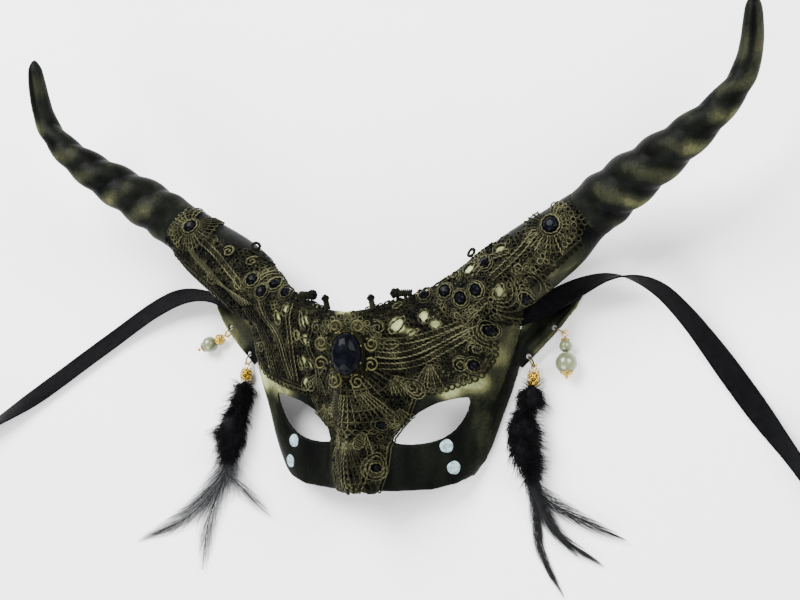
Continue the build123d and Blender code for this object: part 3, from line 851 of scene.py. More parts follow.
def ring_path(x, y, radius, squeeze=1.0, turn=0.0):
    angles = round_angles(max(9, int(2 * math.pi * radius / STEP)))
    return turned(radius * np.cos(angles), radius * squeeze * np.sin(angles), x, y, turn)


def leaf_path(x, y, turn, length, width):
    """A closed leaf outline about its centre, turned by degrees."""
    angles = round_angles(max(12, int(2.2 * length / STEP)))
    flat_y = width / 2 * np.sin(angles) * (1 - 0.25 * np.cos(angles))
    return turned(length / 2 * np.cos(angles), flat_y, x, y, math.radians(turn))


def scroll_path(x, y, radius, start, turns, hand):
    """A spiral that winds inwards; hand is 1 for counter-clockwise."""
    count = int(2 * math.pi * radius * turns * 0.65 / STEP) + 8
    part = np.linspace(0, 1, count)
    angles = math.radians(start) + hand * 2 * math.pi * turns * part
    size = radius * (1 - 0.78 * part)
    return np.stack([x + size * np.cos(angles), y + size * np.sin(angles)], 1)


def inside(outline, x, y):
    """True where a point lies within a closed outline."""
    hit = False
    for (ax, ay), (bx, by) in zip(outline, outline[1:] + outline[:1]):
        if (ay > y) != (by > y) and x < (bx - ax) * (y - ay) / (by - ay) + ax:
            hit = not hit
    return hit


class Lace:
    """One piece of guipure lace: a net of small rings with padded cords over it."""

    def __init__(self, seed, gilt_and_painted_light=0.5):
        self.cords = Cords(6)
        self.thick = Cords(8)
        self.gilt_and_painted_light = gilt_and_painted_light
        self.random = random.Random(seed)

    def cord(self, flat, radius=0.42, lift=0.8, closed=False, gilt_and_painted_light=1.0):
        laid = skin.lay(flat, lift)
        if laid is None:
            return
        whole = closed and len(laid[0]) == len(flat)
        self.cords.tube(laid[0], radius, laid[1], closed=whole, gilt_and_painted_light=gilt_and_painted_light)

    def rope(self, flat, radius=0.55, lift=1.0, closed=False, gilt_and_painted_light=1.0):
        """A cord of two twisted strands."""
        laid = skin.lay(resample(flat, 0.5) if not closed else flat, lift)
        if laid is None:
            return
        whole = closed and len(laid[0]) == len(flat)
        self.thick.tube(laid[0], radius, laid[1], closed=whole, pitch=2.4, gilt_and_painted_light=gilt_and_painted_light)

    def knot(self, x, y, radius=0.6, lift=0.9):
        found = skin.spot(x, y)
        if found is not None:
            self.cords.bead(found[0] + found[1] * lift, radius, found[1], 0.8)

    def net(self, outline, bare, cell=2.5):
        """Touching small rings over an outline, left out where the cloth is bare."""
        xs = [x for x, y in outline]
        ys = [y for x, y in outline]
        row = 0
        y = min(ys)
        while y < max(ys):
            x = min(xs) + (cell / 2 if row % 2 else 0)
            while x < max(xs):
                at_x = x + self.random.uniform(-0.35, 0.35)
                at_y = y + self.random.uniform(-0.35, 0.35)
                if inside(outline, at_x, at_y) and not any(
                    math.hypot(at_x - bx, at_y - by) < size for bx, by, size in bare
                ):
                    radius = cell * self.random.uniform(0.40, 0.58)
                    squeeze = self.random.uniform(0.6, 1.0)
                    turn = self.random.uniform(0, math.pi)
                    patch = noise.noise(Vector((at_x * 0.13, at_y * 0.13, 3.0)))
                    bright = self.gilt_and_painted_light + 0.6 * patch + self.random.uniform(-0.15, 0.2)
                    self.cord(ring_path(at_x, at_y, radius, squeeze, turn),
                              self.random.uniform(0.32, 0.5),
                              0.3 + self.random.uniform(0, 0.5), True,
                              gilt_and_painted_light=min(1.1, max(0.15, bright)))
                    if self.random.random() < 0.3:
                        self.knot(at_x, at_y, self.random.uniform(0.45, 0.75), 0.6)
                x += cell
            y += cell * 0.86
            row += 1

    def edge(self, outline, gilt_and_painted_light=0.85, outward=1):
        """A double cord with a row of loops along an open line."""
        line = resample(outline, STEP)
        out = sideways(line) * outward
        self.rope(line, 0.55, 0.8, gilt_and_painted_light=gilt_and_painted_light)
        self.cord(line - out * 1.5, 0.4, 0.7, gilt_and_painted_light=gilt_and_painted_light)
        for index in range(2, len(line) - 2, 5):
            centre = line[index] + out[index] * 1.15
            self.cord(ring_path(*centre, 1.15), 0.36, 0.6, True, gilt_and_painted_light=gilt_and_painted_light * 0.8)

    def ladder(self, points, width=2.4):
        """Two cords side by side with close stitches between them."""
        middle = curve_through(points, STEP)
        out = sideways(middle)
        for shift in (-width / 2, width / 2):
            self.rope(middle + out * shift, 0.48, 1.15, gilt_and_painted_light=self.random.uniform(0.9, 1.15))
        for index in range(1, len(middle) - 1, 2):
            ends = [middle[index] - out[index] * width / 2,
                    middle[index] + out[index] * width / 2]
            self.cord(resample(ends, STEP), 0.38, 0.75, gilt_and_painted_light=self.random.uniform(0.5, 1.0))

    def open_leaf(self, x, y, turn, length, width):
        self.rope(leaf_path(x, y, turn, length, width), 0.5, 1.0, True)

    def padded_leaf(self, x, y, turn, length, width, side):
        """A leaf filled with stitches."""
        x, turn = (x, turn) if side == 1 else (-x, 180 - turn)
        self.open_leaf(x, y, turn, length, width)
        for place in np.arange(-length / 2 + 1.2, length / 2 - 0.8, 1.0):
            reach = width / 2 * math.sqrt(max(0.0, 1 - (2 * place / length) ** 2)) * 0.9
            ends = np.array([(place - 0.5, -reach), (place + 0.5, reach)])
            flat = turned(*ends.T, x, y, math.radians(turn))
            self.cord(resample(flat, STEP), 0.42, 0.85)

    def scroll(self, x, y, radius, start, turns=1.4, hand=1, side=1):
        """A rope that curls up, with a finer cord outside it; side is -1 for its mirror image."""
        if side == -1:
            x, start, hand = -x, 180 - start, -hand
        path = scroll_path(x, y, radius, start, turns, hand)
        self.rope(path, 0.5, 1.1)
        self.cord(scroll_path(x, y, radius + 0.95, start, turns * 0.6, hand), 0.32, 0.8)

    def fan(self, x, y, heading, spread, inner, outer, ribs, side=1, scallop=True):
        """Padded ribs that spread from a centre, linked by arcs, with loops round the rim."""
        if side == -1:
            x, heading = -x, 180 - heading
        low = heading - spread / 2
        for index in range(ribs):
            angle = math.radians(low + spread * index / (ribs - 1))
            way = np.array([math.cos(angle), math.sin(angle)])
            # ribs differ a little in length
            reach = outer * self.random.uniform(0.94, 1.0)
            flat = [np.array([x, y]) + way * inner, np.array([x, y]) + way * reach]
            self.rope(resample(flat, 0.5), 0.46, 0.95, gilt_and_painted_light=self.random.uniform(0.75, 1.1))
            if scallop:
                tip = np.array([x, y]) + way * (outer + 0.9)
                self.cord(ring_path(*tip, 1.15), 0.34, 0.8, True)
        for share in (0.45, 0.78):
            radius = inner + (outer - inner) * share
            self.cord(arc(x, y, radius, low, low + spread), 0.34, 0.75)

    def shell_arcs(self, x, y, radii, start, end, side=1):
        """Concentric arcs with a scalloped rim, like the edge of a cockle."""
        if side == -1:
            x, start, end = -x, 180 - start, 180 - end
        for radius in radii:
            self.rope(arc(x, y, radius, start, end), 0.44, 0.95)
        rim = radii[-1] + 1.4
        count = max(3, int(abs(math.radians(end - start)) * rim / 2.2))
        for index in range(count + 1):
            angle = math.radians(start + (end - start) * index / count)
            self.cord(ring_path(x + rim * math.cos(angle), y + rim * math.sin(angle), 1.1),
                      0.34, 0.8, True)

    def stream(self, points, count=1, spacing=1.5, side=1):
        """Parallel cords that sweep along the mask."""
        middle = curve_through([(side * x, y) for x, y in points], STEP)
        out = sideways(middle)
        for index in range(count):
            shift = (index - (count - 1) / 2) * spacing
            self.rope(middle + out * shift, 0.43, 0.95 - 0.05 * abs(shift),
                      gilt_and_painted_light=self.random.uniform(0.7, 1.1))

    def stone_ring(self, x, y, radius):
        """Cords round a stud."""
        self.rope(ring_path(x, y, radius + 0.75), 0.5, 1.3, True)
        self.cord(ring_path(x, y, radius + 1.75), 0.36, 0.8, True)

    def piece(self, name, node):
        self.cords.store(np.vstack(self.thick.points), self.thick.faces,
                         np.concatenate(self.thick.wear_and_painted_light))
        settle(self.cords.piece(name, guipure), "root", "lace_cord", node)


def mirrored(points):
    return [(-x, y) for x, y in points]


# right half of each outline, middle outwards
brow_top = [(0, -6.5), (10, -5), (24, -1), (38, 3), (52, 8), (61, 12)]
brow_bottom = [(0, -44), (19, -44), (29, -39.5), (41, -36), (55, -30), (61, -21), (62, -8)]
nose_side = [(25.5, -42.0), (22.0, -50), (17.0, -57), (13.6, -65), (12.8, -76), (9.0, -87.0),
             (0, -91.5)]
arm_upper = [(14, 0), (22, 3), (34, 11), (48, 20), (64, 29), (79, 34), (90, 40), (101, 47)]
arm_end = [(101, 47), (108, 45), (111, 38), (105, 30)]
arm_edge = arm_lower[1:]

# black studs: x, y, radius
right_arm_stud = (92.7, 36.0, 3.5)
left_arm_stud = (-95.0, 40.5, 2.6)
stud_places = [
    right_arm_stud,
    (34.3, 4.0, 2.1), (44.0, 5.8, 2.4), (51.5, 3.0, 2.4), (58.7, 6.7, 2.3),
    (62.5, 19.0, 2.2), (79.2, 4.5, 2.1), (60.5, -9.5, 2.6), (53.5, -25.9, 2.1),
    (-57.0, 12.8, 2.4), (-50.8, 6.9, 2.4), (-45.0, 10.5, 2.4), (-37.5, 6.3, 2.4),
    left_arm_stud, (11.1, -55.3, 1.6), (-8.5, -72.4, 1.5), (9.5, -75.2, 1.5),
]
# openings where the shell shows through: x, y, turn, length, width
leaves = [
    (23.4, -10.2, 47, 9.8, 3.9), (34.9, -5.6, 66, 6.2, 4.4), (39.4, -8.6, 30, 5.6, 4.0),
    (29.6, -13.6, 42, 6.6, 2.2), (20.3, -18.8, 18, 7.0, 3.6), (23.1, -1.4, 35, 4.4, 1.8),
    (54.6, 16.9, 40, 6.6, 5.0), (69.1, 25.2, 35, 7.0, 4.6), (69.1, 6.6, 55, 7.4, 4.0),
    (-40.5, -5.4, 100, 5.6, 3.8), (-35.3, -2.4, 80, 6.0, 3.8), (-28.4, -14.3, 120, 4.4, 3.8),
    (-23.0, -17.4, 155, 7.0, 3.0), (-24.4, -8.2, 112, 9.6, 2.2), (-29.0, -26.6, 95, 6.4, 2.2),
    (-22.8, -27.5, 130, 5.0, 2.6), (-28.4, -35.9, 60, 6.2, 4.6), (-64.4, 11.5, 110, 6.4, 3.4),
]
bare_spots = [(x, y, max(2.6, length * 0.42)) for x, y, turn, length, width in leaves]
bare_spots += [(x, y, radius + 1.2) for x, y, radius in stud_places]
bare_spots.append((1.0, -24.4, 8.5))
NOSE_TOP = -45                      # the nose's lace starts here
ARM_START = 45                      # leaves further out than this are on an arm


def brow_lace():
    lace = Lace(11, 0.6)
    outline = brow_top + brow_bottom[::-1] + mirrored(brow_bottom[1:]) + mirrored(
        brow_top[1:])[::-1]
    lace.net(outline, bare_spots, 2.1)
    for side in (1, -1):
        lace.edge([(side * x, y) for x, y in brow_bottom[2:]], outward=side)
        lace.edge([(side * x, y) for x, y in brow_top[1:4]], 0.5, outward=-side)
        lace.fan(17, -31.5, -52, 80, 2.5, 10, 8, side, scallop=False)
        lace.scroll(26.2, -36.7, 3.2, 120, 1.5, 1, side)
        lace.scroll(15.0, -12.0, 3.0, 120, 1.5, -1, side)
        lace.scroll(55.0, -18.5, 3.2, 200, 1.5, -1, side)
    lace.ladder([(14, -18), (25.5, -16.9), (35.2, -14.2), (44.9, -9.8), (54.2, -3.8), (63, 3)])
    lace.ladder([(13, -23.5), (21, -23.5), (30, -21.2), (39, -16.8), (47, -12), (56, -6.5)])
    lace.ladder([(14, -28.5), (22, -27.8), (31.5, -25.5), (40, -21), (48.5, -15.5), (54, -11.5)])
    lace.fan(35.5, -25, -98, 62, 1.5, 12, 8)
    lace.scroll(48.3, -26.2, 3.4, 60, 1.7)
    lace.scroll(49.5, -32.0, 2.6, 240, 1.4, -1)
    lace.shell_arcs(60.5, -9.5, (4.9, 6.5, 8.1), 105, 265)
    lace.rope(leaf_path(26.5, -37.0, 150, 8.0, 5.4), 0.55, 1.1, True)
    lace.rope(leaf_path(26.5, -37.0, 150, 11.0, 8.2), 0.45, 1.0, True)
    for shift in (0, 1.7, 3.4, 5.1):
        lace.stream([(-62.0 + shift, 0), (-58 + shift, -9), (-52.5 + shift, -18),
                     (-50.5 + shift, -28), (-49.5 + shift, -33)])
    for shift in (0, 1.8, 3.6):
        lace.stream([(-54.0 + shift, 3), (-50 + shift, -6), (-43 + shift, -15),
                     (-40.5 + shift, -25), (-38.5 + shift, -34)])
    lace.ladder([(-32.5, 0), (-33.5, -9), (-33.0, -18), (-33.5, -27), (-34.0, -35)])
    lace.ladder([(-18, -11), (-21, -20), (-17.5, -29), (-20, -37)], 2.2)
    for x, y, turn, length, width in leaves:
        if abs(x) < ARM_START:
            lace.open_leaf(x, y, turn, length, width)
    for x, y, radius in stud_places:
        if abs(x) < 62 and NOSE_TOP < y < 0:
            lace.stone_ring(x, y, radius)
    lace.fan(1.0, -24, -90, 130, 13.0, 21, 17, scallop=False)
    lace.fan(1.0, -24, 90, 140, 12.5, 16.0, 13)
    lace.piece("brow_guipure", "brow_lace")


def nose_lace():
    lace = Lace(23, 0.6)
    outline = [(0, -44.4)] + nose_side + mirrored(nose_side[:-1])[::-1]
    lace.net(outline, bare_spots, 2.0)
    for side in (1, -1):
        lace.edge([(side * x, y) for x, y in nose_side], outward=side)
        lace.padded_leaf(4.4, -63.5, 78, 8.0, 3.2, side)
        lace.stream([(5.5, -60), (7.6, -70), (5.5, -80), (2.5, -87)], 2, 1.5, side)
        lace.scroll(14.0, -48.5, 2.8, 100, 1.5, 1, side)
    for x, y, turn, inner, outer in ((9.3, -74.6, 84, (9.6, 6.0), (12.6, 8.6)),
                                     (-8.4, -72.2, 96, (8.6, 5.2), (11.4, 7.6))):
        lace.rope(leaf_path(x, y, turn, *inner), 0.5, 1.2, True)
        lace.rope(leaf_path(x, y, turn, *outer), 0.42, 1.0, True)
    lace.fan(0.8, -34, -90, 92, 9, 25, 17)
    lace.fan(0.6, -62, -90, 46, 3, 26, 9, scallop=False)
    for side in (1, -1):
        lace.fan(16.5, -45.5, -75, 90, 2.5, 8.5, 7, side)
    for y in np.arange(-62, -88, -2.6):
        lace.knot(0.4, y, 1.1, 1.3)
    for turn in np.arange(0, 6.28, 0.7):
        lace.knot(0.4 + 2.6 * math.cos(turn), -86.0 + 2.0 * math.sin(turn), 1.0, 1.2)
    for x, y, radius in stud_places:
        if y < NOSE_TOP:
            lace.stone_ring(x, y, radius)
    lace.piece("nose_guipure", "nose_lace")


def arm_lace(side, name, node, seed):
    lace = Lace(seed, 0.72 if side == 1 else 0.55)
    outline = arm_upper + arm_end[1:] + arm_edge[::-1][1:] + [(62, -8), (61, 12), (52, 8),
                                                             (38, 3), (24, -1)]
    if side == -1:
        outline = mirrored(outline)
    lace.net(outline, bare_spots, 2.5)
    lace.edge([(side * x, y) for x, y in arm_upper[1:5]], 0.5, outward=-side)
    lace.edge([(side * x, y) for x, y in arm_edge], 0.7, outward=side)
    centre_x, centre_y, radius = right_arm_stud if side == 1 else left_arm_stud
    lace.stone_ring(centre_x, centre_y, radius)
    lace.fan(abs(centre_x), centre_y, 215, 150, radius + 1.8, 14, 16, side, scallop=False)
    lace.fan(abs(centre_x), centre_y, 20, 150, radius + 1.8, 9.5, 12, side)
    if side == 1:
        lace.shell_arcs(69.5, 7.5, (5.4, 7.0, 8.6, 10.2), -110, 45)
        lace.shell_arcs(83.2, 10.5, (3.0, 4.6), -60, 170)
        lace.shell_arcs(40.9, 8.0, (5.0, 6.5), 40, 150)
        lace.ladder([(66, 12), (74, 19), (81, 26), (86, 33)], 2.6)
        lace.ladder([(58, 14), (64, 20.5), (74, 24)], 2.2)
        lace.scroll(78.0, 16.5, 2.8, 200, 1.5)
        lace.scroll(47.5, 13.5, 2.8, 300, 1.4)
    else:
        lace.shell_arcs(47.1, 10.5, (5.6, 7.2), 20, 160, -1)
        for shift in (0, 1.6, 3.2, 4.8, 6.4):
            lace.stream([(-95 + shift * 0.55, 31 - shift * 0.8), (-82 + shift * 0.55, 20 - shift),
                         (-70 + shift * 0.8, 8 - shift * 0.3), (-62 + shift, 1)])
        lace.ladder([(-87, 33), (-78, 26), (-70, 18), (-61, 9)], 2.6)
        lace.scroll(80.0, 15.0, 3.0, 200, 1.5, 1, -1)
        lace.scroll(72.0, 27.0, 2.8, 40, 1.5, 1, -1)
        lace.scroll(60.0, 22.0, 2.6, 120, 1.4, -1, -1)
    for x, y, turn, length, width in leaves:
        if x * side > ARM_START:
            lace.open_leaf(x, y, turn, length, width)
    for x, y, radius in stud_places:
        if x * side > 30 and y > 0 and abs(x) < 90:
            lace.stone_ring(x, y, radius)
    lace.piece(name, node)


brow_lace()
nose_lace()
arm_lace(1, "right_arm_guipure", "right_arm_lace", 31)
arm_lace(-1, "left_arm_guipure", "left_arm_lace", 47)


def wrapped_stem(cords, start, end, radius):
    """A core wound with one cord from end to end."""
    start, end = np.array(start, float), np.array(end, float)
    length = np.linalg.norm(end - start)
    way = (end - start) / length
    side = unit(np.cross(way, UP + 0.01))
    other = np.cross(way, side)
    cords.tube(resample([start, end], 0.8), radius * 0.75, gilt_and_painted_light=0.3)
    turns = length / 0.95
    part = np.linspace(0, 1, int(turns * 12))
    wave = 2 * math.pi * turns * part
    core = start + way * (length * part)[:, None]
    path = (core + side * (radius * 0.8 * np.cos(wave))[:, None]
            + other * (radius * 0.8 * np.sin(wave))[:, None])
    cords.tube(path, 0.42, unit(path - core), gilt_and_painted_light=0.7)


PEG_FEET = [(13.4, -3.4, 52.0), (-9.5, -3.4, 52.0)]
KNOB_STARTS = [(29.5, 4.8, 45.6), (-27.2, 4.3, 46.1)]
# centre of each loop, and the way its flat side faces
LOOP_PLACES = [
    ((53.5, 25.3, 33.7), (-0.4, 0.3, 0.85)),
    ((-61.0, 31.6, 30.7), (0.4, 0.3, 0.85)),
]


def lace_trimmings():
    pegs, knobs, loops = Cords(7), Cords(7), Cords(8)
    for foot in PEG_FEET:
        way = unit([0.05, 0.75, 0.65])
        tip = np.array(foot) + way * 5.6
        wrapped_stem(pegs, foot, tip, 1.35)
        for index in range(7):
            angle = 2 * math.pi * index / 7
            petal = unit([math.cos(angle), -0.65 * math.sin(angle), 0.75 * math.sin(angle)])
            pegs.bead(tip + petal * 1.25, 0.85, petal, gilt_and_painted_light=0.45)
        pegs.bead(tip + way * 1.0, 1.2, way, gilt_and_painted_light=0.5)
    for start in KNOB_STARTS:
        way = unit([-math.copysign(0.97, start[0]), -0.06, 0.2])
        end = np.array(start) + way * 7.6
        wrapped_stem(knobs, start, end, 1.7)
        for ring, share in enumerate((-0.9, 0.6)):
            for index in range(7):
                angle = 2 * math.pi * (index + ring / 2) / 7
                petal = unit([0, math.cos(angle), math.sin(angle)])
                knobs.bead(end + way * share + petal * 1.5, 1.15, petal, gilt_and_painted_light=0.4)
        knobs.bead(end + way * 1.3, 1.5, way, gilt_and_painted_light=0.4)
    for centre, way in LOOP_PLACES:
        way = unit(way)
        first = unit(np.cross(way, [1.0, 0, 0]))
        second = np.cross(way, first)
        for size, thick in ((1.7, 0.6), (2.35, 0.28)):
            wave = round_angles(26)
            ring = (np.array(centre) + first * (size * np.cos(wave))[:, None]
                    + second * (size * np.sin(wave))[:, None])
            loops.tube(ring, thick, np.tile(way, (26, 1)), closed=True, pitch=2.1, gilt_and_painted_light=0.45)
    settle(pegs.piece("lace_end_pegs", guipure), "root", "lace_cord", "lace_pegs")
    settle(knobs.piece("lace_end_knobs", guipure), "root", "lace_cord", "lace_knobs")
    settle(loops.piece("lace_end_loops", guipure), "root", "lace_cord", "lace_loops")


lace_trimmings()


# ---- stones ---------------------------------------------------------------------------------
def faceted(seat, across, along, normal, profile, sides, half_x, half_y):
    """A cut stone: rings of points by share of its size and height, with flat facets between."""
    points = []
    for ring, (share, height) in enumerate(profile):
        for index in range(sides):
            angle = 2 * math.pi * (index + 0.5 * (ring % 2)) / sides
            points.append(seat + across * half_x * share * math.cos(angle)
                          + along * half_y * share * math.sin(angle) + normal * height)
    faces = [tuple(range(sides))[::-1]]
    for ring in range(len(profile) - 1):
        low, top = ring * sides, (ring + 1) * sides
        for index in range(sides):
            turn = (index + 1) % sides
            if ring % 2 == 0:
                faces.append((low + index, low + turn, top + index))
                faces.append((low + turn, top + turn, top + index))
            else:
                faces.append((low + index, low + turn, top + turn))
                faces.append((low + index, top + turn, top + index))
    faces.append(tuple(range((len(profile) - 1) * sides, len(profile) * sides)))
    return points, faces


GEM_CENTRE = (2.3, -24.8)
GEM_HALF_WIDTH, GEM_HALF_LENGTH = 7.4, 9.9
GEM_SINK = 3.0                      # its back under the middle of its CAD solid


def make_gem():
    """The oval stone square to the shell under it, in two wire rings with eight curls."""
    low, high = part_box("oval_gem")
    centre_z = (low.z + high.z) / 2 / MM
    centre_y = (low.y + high.y) / 2 / MM
    x, y = GEM_CENTRE
    right, left = skin.spot(x + 6, y), skin.spot(x - 6, y)
    ahead, behind = skin.spot(x, y + 7), skin.spot(x, y - 7)
    across, along = unit(right[0] - left[0]), unit(ahead[0] - behind[0])
    normal = unit(np.cross(across, along))
    along = np.cross(normal, across)
    centre_x = (low.x + high.x) / 2 / MM
    base = np.array([centre_x, centre_y, centre_z]) - normal * GEM_SINK
    profile = [(0.97, 0.0), (1.0, 1.2), (0.93, 2.6), (0.74, 4.3), (0.48, 5.6), (0.2, 6.2)]
    points, faces = faceted(base, across, along, normal, profile, 14,
                            GEM_HALF_WIDTH, GEM_HALF_LENGTH)
    stone = make_mesh("cut_oval_gem", points, faces, black_stone, smooth=False)
    settle(stone, "root", "black_gem", "oval_gem")
    wires = Cords(8)
    angles = round_angles(72)
    for grow, drop, thick in ((0.1, 1.1, 0.3), (0.7, 0.0, 0.36)):
        ring = (base + across * ((7.6 + grow) * np.cos(angles))[:, None]
                + along * ((10.1 + grow) * np.sin(angles))[:, None] + normal * drop)
        wires.tube(ring, thick, np.tile(normal, (72, 1)), closed=True, pitch=1.8, gilt_and_painted_light=0.15)
    curls = [(11.9, 4.7), (5.4, 12.6)]
    for index in range(8):
        reach_x, reach_y = curls[(index + 1) // 2 % 2]
        turn_x = 1 if index in (0, 1, 6, 7) else -1
        turn_y = 1 if index < 4 else -1
        spin = turn_x * turn_y * (1 if reach_x > reach_y else -1)
        middle = base + across * turn_x * reach_x + along * turn_y * reach_y + normal * 0.4
        out = unit(across * turn_x * reach_x + along * turn_y * reach_y)
        beside = np.cross(normal, out)
        part = np.linspace(0, 1, 52)
        wave = spin * (2 * math.pi * 1.3 * part) + math.pi * 0.85
        size = 3.25 * (1 - 0.72 * part**1.2)
        curl = (middle + out * (size * np.cos(wave))[:, None]
                + beside * (size * np.sin(wave))[:, None] + normal * (0.9 * part)[:, None])
        wires.tube(curl, 0.46 - 0.1 * part, np.tile(normal, (52, 1)), gilt_and_painted_light=0.85)
        wires.bead(curl[-1], 0.5, normal, gilt_and_painted_light=0.9)
        angle = 0.39 if reach_x > reach_y else 1.18
        prong = base + (across * turn_x * 7.7 * math.cos(angle)
                        + along * turn_y * 10.2 * math.sin(angle))
        wires.bead(prong + normal * 1.5, 0.6, normal, gilt_and_painted_light=1.0)
        for shift in (-1, 1):
            link = base + (across * turn_x * reach_x * 0.9 + along * turn_y * reach_y * 0.9
                           + beside * shift * 3.0)
            wires.bead(link, 0.7, normal, gilt_and_painted_light=0.6)
    settle(wires.piece("scrolled_gem_setting", antique), "root", "antique_brass", "gem_setting")


def make_studs():
    points, faces = [], []
    for x, y, radius in stud_places:
        place, normal = skin.spot(x, y)
        across = unit(np.cross([0, 1.0, 0], normal))
        along = np.cross(normal, across)
        seat = place + normal * 1.0
        profile = [(1.0, -0.6), (1.0, 0.5), (0.78, 1.3), (0.42, 1.8)]
        stone, cuts = faceted(seat, across, along, normal, profile, 10, radius, radius)
        faces += [tuple(index + len(points) for index in face) for face in cuts]
        points += stone
    piece = make_mesh("faceted_studs", points, faces, black_stone, smooth=False)
    settle(piece, "root", "black_stud", "round_studs")


DOT_RADIUS = 3.15


def make_cheek_dots():
    """Flat enamel drops, slightly uneven, on the cheeks."""
    rolls = random.Random(5)
    points, faces = [], []
    around = 40
    profile = ((1.0, -0.2), (1.0, 0.35), (0.93, 0.62), (0.7, 0.6), (0.35, 0.5))
    for x, y in ((39.7, -63.4), (42.6, -73.2), (-39.7, -63.4), (-42.6, -73.2)):
        place, normal = skin.spot(x, y)
        across = unit(np.cross([0, 1.0, 0], normal))
        along = np.cross(normal, across)
        shift = rolls.uniform(0, 6)
        start = len(points)
        for share, height in profile:
            for index in range(around):
                angle = 2 * math.pi * index / around
                wobble = 1 + 0.03 * math.sin(3 * angle + shift) + 0.02 * math.sin(5 * angle)
                size = DOT_RADIUS * share * wobble
                dimple = 0.12 * noise.noise(Vector((x + 2 * math.cos(angle), y, share * 3)))
                points.append(place + across * size * math.cos(angle)
                              + along * size * math.sin(angle) + normal * (height + dimple))
        faces += tube_faces(len(profile), around, first=start)
    piece = make_mesh("cheek_enamel_dots", points, faces, enamel)
    settle(piece, "root", "pale_stud", "cheek_dots")


make_gem()
make_studs()
make_cheek_dots()

# ---- drops ----------------------------------------------------------------------------------
RING_RADIUS, RING_WIRE, RING_HEIGHT = 2.75, 0.4, 3.5
LOOP_RADIUS, LOOP_WIRE = 1.4, 0.35


class Drop:
    """Where a jump ring and what hangs on it lie: hole, far side of the ring, way of the drop."""

    def __init__(self, hole, ring_angle, drop_angle, rise):
        turn = math.radians(ring_angle)
        self.ring_way = np.array([math.cos(turn), math.sin(turn), 0.0])
        self.hole = np.array([*hole, RING_HEIGHT])
        self.pivot = self.hole + self.ring_way * 2 * RING_RADIUS
        turn, lift = math.radians(drop_angle), math.radians(rise)
        flat = np.array([math.cos(turn), math.sin(turn), 0.0])
        self.way = flat * math.cos(lift) + UP * math.sin(lift)
        self.side = unit(np.cross(UP, self.way))
        self.top = np.cross(self.way, self.side)

    def at(self, distance):
        return self.pivot + self.way * distance


drops = {
    "right_pearl": Drop((86.3, -5.7), -27, -84, 7),
    "left_pearl": Drop((-86.3, -5.7), -127, -154, 4),
    "right_feather": Drop((74.3, -19.4), -62, -91, 2),
    "left_feather": Drop((-74.3, -19.4), -110, -92, 2),
}


def jump_ring(name):
    """A ring of round wire with a fine cut in it, standing on its edge through the ear."""
    drop = drops[name]
    wires = Cords(10)
    centre = drop.hole + drop.ring_way * RING_RADIUS
    wave = np.linspace(0.03, 2 * math.pi - 0.03, 60) + 1.2
    ring = (centre + drop.ring_way * (RING_RADIUS * np.cos(wave))[:, None]
            + UP * (RING_RADIUS * np.sin(wave))[:, None])
    wires.tube(ring, RING_WIRE, unit(ring - centre), gilt_and_painted_light=0.9)
    piece = wires.piece(f"{name}_jump_ring", dark_wire)
    settle(piece, f"{name}_ring", "dark_wire", f"{name}_ring")


def eye_pin(wires, drop, length):
    """A loop round the ring's far side, and a straight stem down through the beads."""
    wave = round_angles(30)
    loop = (drop.pivot + drop.way * (LOOP_RADIUS * np.cos(wave))[:, None]
            + np.cross(UP, drop.way) * (LOOP_RADIUS * np.sin(wave))[:, None])
    wires.tube(loop, LOOP_WIRE, np.tile(UP, (30, 1)), closed=True, gilt_and_painted_light=0.9)
    wires.tube(resample([drop.at(LOOP_RADIUS), drop.at(length)], 1.0), LOOP_WIRE, gilt_and_painted_light=0.9)


def lathe(drop, profile, around):
    """A turned body on the drop's stem: distance and radius of each ring."""
    points = []
    for distance, radius in profile:
        for index in range(around):
            angle = 2 * math.pi * index / around
            points.append(drop.at(distance) + drop.side * radius * math.cos(angle)
                          + drop.top * radius * math.sin(angle))
    return points, tube_faces(len(profile), around)


def make_pearl(name, drop, distance, radius, body, node):
    """A pearl that is very slightly out of round, with a rounded drill hole at each end."""
    hole = 0.55
    profile = [(distance - radius * 0.93, hole)]
    for step in range(1, 30):
        polar = math.pi * step / 30
        size = radius * math.sin(polar)
        if size > hole:
            profile.append((distance - radius * math.cos(polar), size))
    profile.append((distance + radius * 0.93, hole))
    points, faces = lathe(drop, profile, 48)
    centre = drop.at(distance)
    points = [centre + (p - centre) * (1 + 0.012 * noise.noise(Vector(p) * 0.3)) for p in points]
    piece = make_mesh(name, points, faces, pearl_lustre)
    settle(piece, body, "pearl", node)


def petal_cap(wires, drop, distance, radius, facing):
    """A filigree cap: a ring of wire petals that cups a pearl."""
    petals = 6
    for index in range(petals):
        angle = 2 * math.pi * index / petals
        out = drop.side * math.cos(angle) + drop.top * math.sin(angle)
        beside = np.cross(drop.way, out)
        wave = round_angles(16)
        reach = radius * (0.55 + 0.5 * np.cos(wave))
        petal = (drop.at(distance) + out * reach[:, None]
                 + beside * (radius * 0.42 * np.sin(wave))[:, None]
                 + drop.way * (facing * reach**2 * 0.16)[:, None])
        wires.tube(petal, 0.22, np.tile(drop.way, (16, 1)), closed=True, gilt_and_painted_light=0.9)
    wires.bead(drop.at(distance), 0.75, drop.way, gilt_and_painted_light=0.9)


